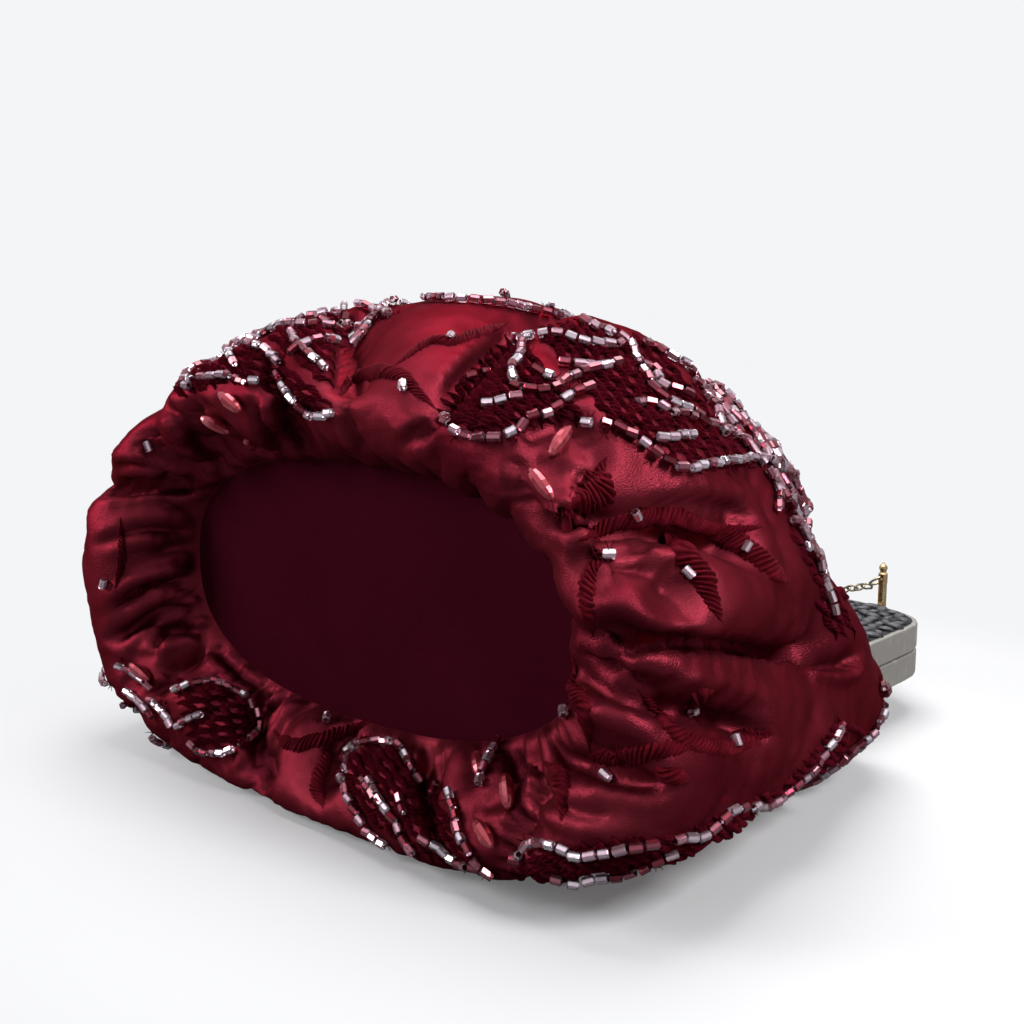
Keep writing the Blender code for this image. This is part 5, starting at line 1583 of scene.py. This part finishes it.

# %% [markdown]
# ## Floor and light
# The bag lies on pale paper under broad soft light from above and from both sides, and the paper
# fades into white. For the camera the floor is paper mixed with a painted white glow, a little of
# it right by the bag and all of it further out. The glow lightens the real shadow near the bag and
# hides it further away, and the ring where it fades in is set off towards +X, so the shadow reaches
# further on that side. To bounce light and reflections the floor is a dim grey, which is painted
# shade that keeps the undersides of the satin dark. What the metal and the satin mirror is darker
# low down than high up, as in a room with the lights above, and that keeps the folds deep.

# %% Floor
# PALE is the paper as the camera sees it. The grey after it is painted shade: the paper as bounce
# light and reflections see it
PALE, PAINTED_SHADE_GREY, WHITE = (0.84, 0.84, 0.855, 1), (0.20, 0.20, 0.21, 1), (0.905, 0.91, 0.93, 1)
# The glow is painted light. Its centre is set off from the bag towards +X, and it lightens the
# floor's shadow a little by the bag and hides it further out
GLOW_MIDDLE, FADE_FROM, FADE_TO, LEAST_GLOW = (0.022, 0.0, 0.0), 0.085, 0.21, 0.12
bm = bmesh.new()
bmesh.ops.create_grid(bm, x_segments=1, y_segments=1, size=6.0)
floor = bpy.data.objects.new("floor", to_mesh(bm, "floor"))
scene.collection.objects.link(floor)
paper = simple("floor_paper", PALE[:3], 0.85)
tree = paper.node_tree
eye = node(tree, "ShaderNodeLightPath").outputs["Is Camera Ray"]
place = node(tree, "ShaderNodeTexCoord").outputs["Object"]
shift = node(tree, "ShaderNodeVectorMath", {0: place, 1: GLOW_MIDDLE}, operation="SUBTRACT")
away = node(tree, "ShaderNodeVectorMath", {0: shift.outputs[0]}, operation="LENGTH")
fade = node(tree, "ShaderNodeMapRange", {
    "Value": away.outputs["Value"], "From Min": FADE_FROM, "From Max": FADE_TO,
    "To Min": LEAST_GLOW}, interpolation_type="SMOOTHSTEP")
# Dim grey to every ray but the camera's: painted shade for the undersides of the satin
shade = node(tree, "ShaderNodeMix", {0: eye, 6: PAINTED_SHADE_GREY, 7: PALE}, data_type="RGBA")
tree.links.new(shade.outputs[2], tree.nodes["Principled BSDF"].inputs["Base Color"])
# Painted white glow, seen by the camera only
seen_glow = node(tree, "ShaderNodeMath", {0: fade.outputs["Result"], 1: eye},
                 operation="MULTIPLY")
glow = node(tree, "ShaderNodeEmission", {"Color": WHITE})
both = node(tree, "ShaderNodeMixShader", {
    "Fac": seen_glow.outputs[0], 1: tree.nodes["Principled BSDF"].outputs[0],
    2: glow.outputs[0]})
tree.links.new(both.outputs[0], tree.nodes["Material Output"].inputs["Surface"])
floor.data.materials.append(paper)
print("floor fades out from", FADE_FROM, "to", FADE_TO, "m")

# %% Room
world = bpy.data.worlds.new("studio")
world.use_nodes = True
scene.world = world
sky = world.node_tree
background = sky.nodes["Background"]
background.inputs["Color"].default_value = (0.93, 0.95, 1.0, 1)
background.inputs["Strength"].default_value = 0.08
bright = node(sky, "ShaderNodeBackground", {"Color": WHITE, "Strength": 1.0})
way = node(sky, "ShaderNodeTexCoord").outputs["Generated"]
height = node(sky, "ShaderNodeSeparateXYZ", {"Vector": way}).outputs["Z"]
mirrored = node(sky, "ShaderNodeBackground", {
    "Color": (0.95, 0.96, 1.0, 1), "Strength": spread(sky, height, 0.0, 0.9, 0.20, 1.25)})
path = node(sky, "ShaderNodeLightPath").outputs
shiny = node(sky, "ShaderNodeMath", {0: path["Is Glossy Ray"], 1: path["Is Transmission Ray"]},
             operation="MAXIMUM")
inner = node(sky, "ShaderNodeMixShader", {
    "Fac": shiny.outputs[0], 1: background.outputs[0], 2: mirrored.outputs[0]})
choose = node(sky, "ShaderNodeMixShader", {
    "Fac": path["Is Camera Ray"], 1: inner.outputs[0], 2: bright.outputs[0]})
sky.links.new(choose.outputs[0], sky.nodes["World Output"].inputs["Surface"])

# %% Lamps
LAMPS = [("top", (-0.05, 0.10, 0.75), 0.5, 4.3), ("left", (-0.55, -0.55, 0.35), 0.35, 3.8),
         ("right", (0.62, -0.02, 0.55), 0.22, 4.2)]
AIM = Vector((0, 0, 0.05))
for name, place, size, energy in LAMPS:
    light = bpy.data.lights.new(name, "AREA")
    light.shape, light.size, light.size_y, light.energy = "RECTANGLE", size, size, energy
    lamp = bpy.data.objects.new(name, light)
    lamp.location = place
    lamp.rotation_euler = (AIM - Vector(place)).to_track_quat("-Z", "Y").to_euler()
    scene.collection.objects.link(lamp)
scene.view_settings.view_transform = "Standard"
print("lamps", len(LAMPS))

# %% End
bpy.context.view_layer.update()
print("seconds", round(time.time() - clock, 1))
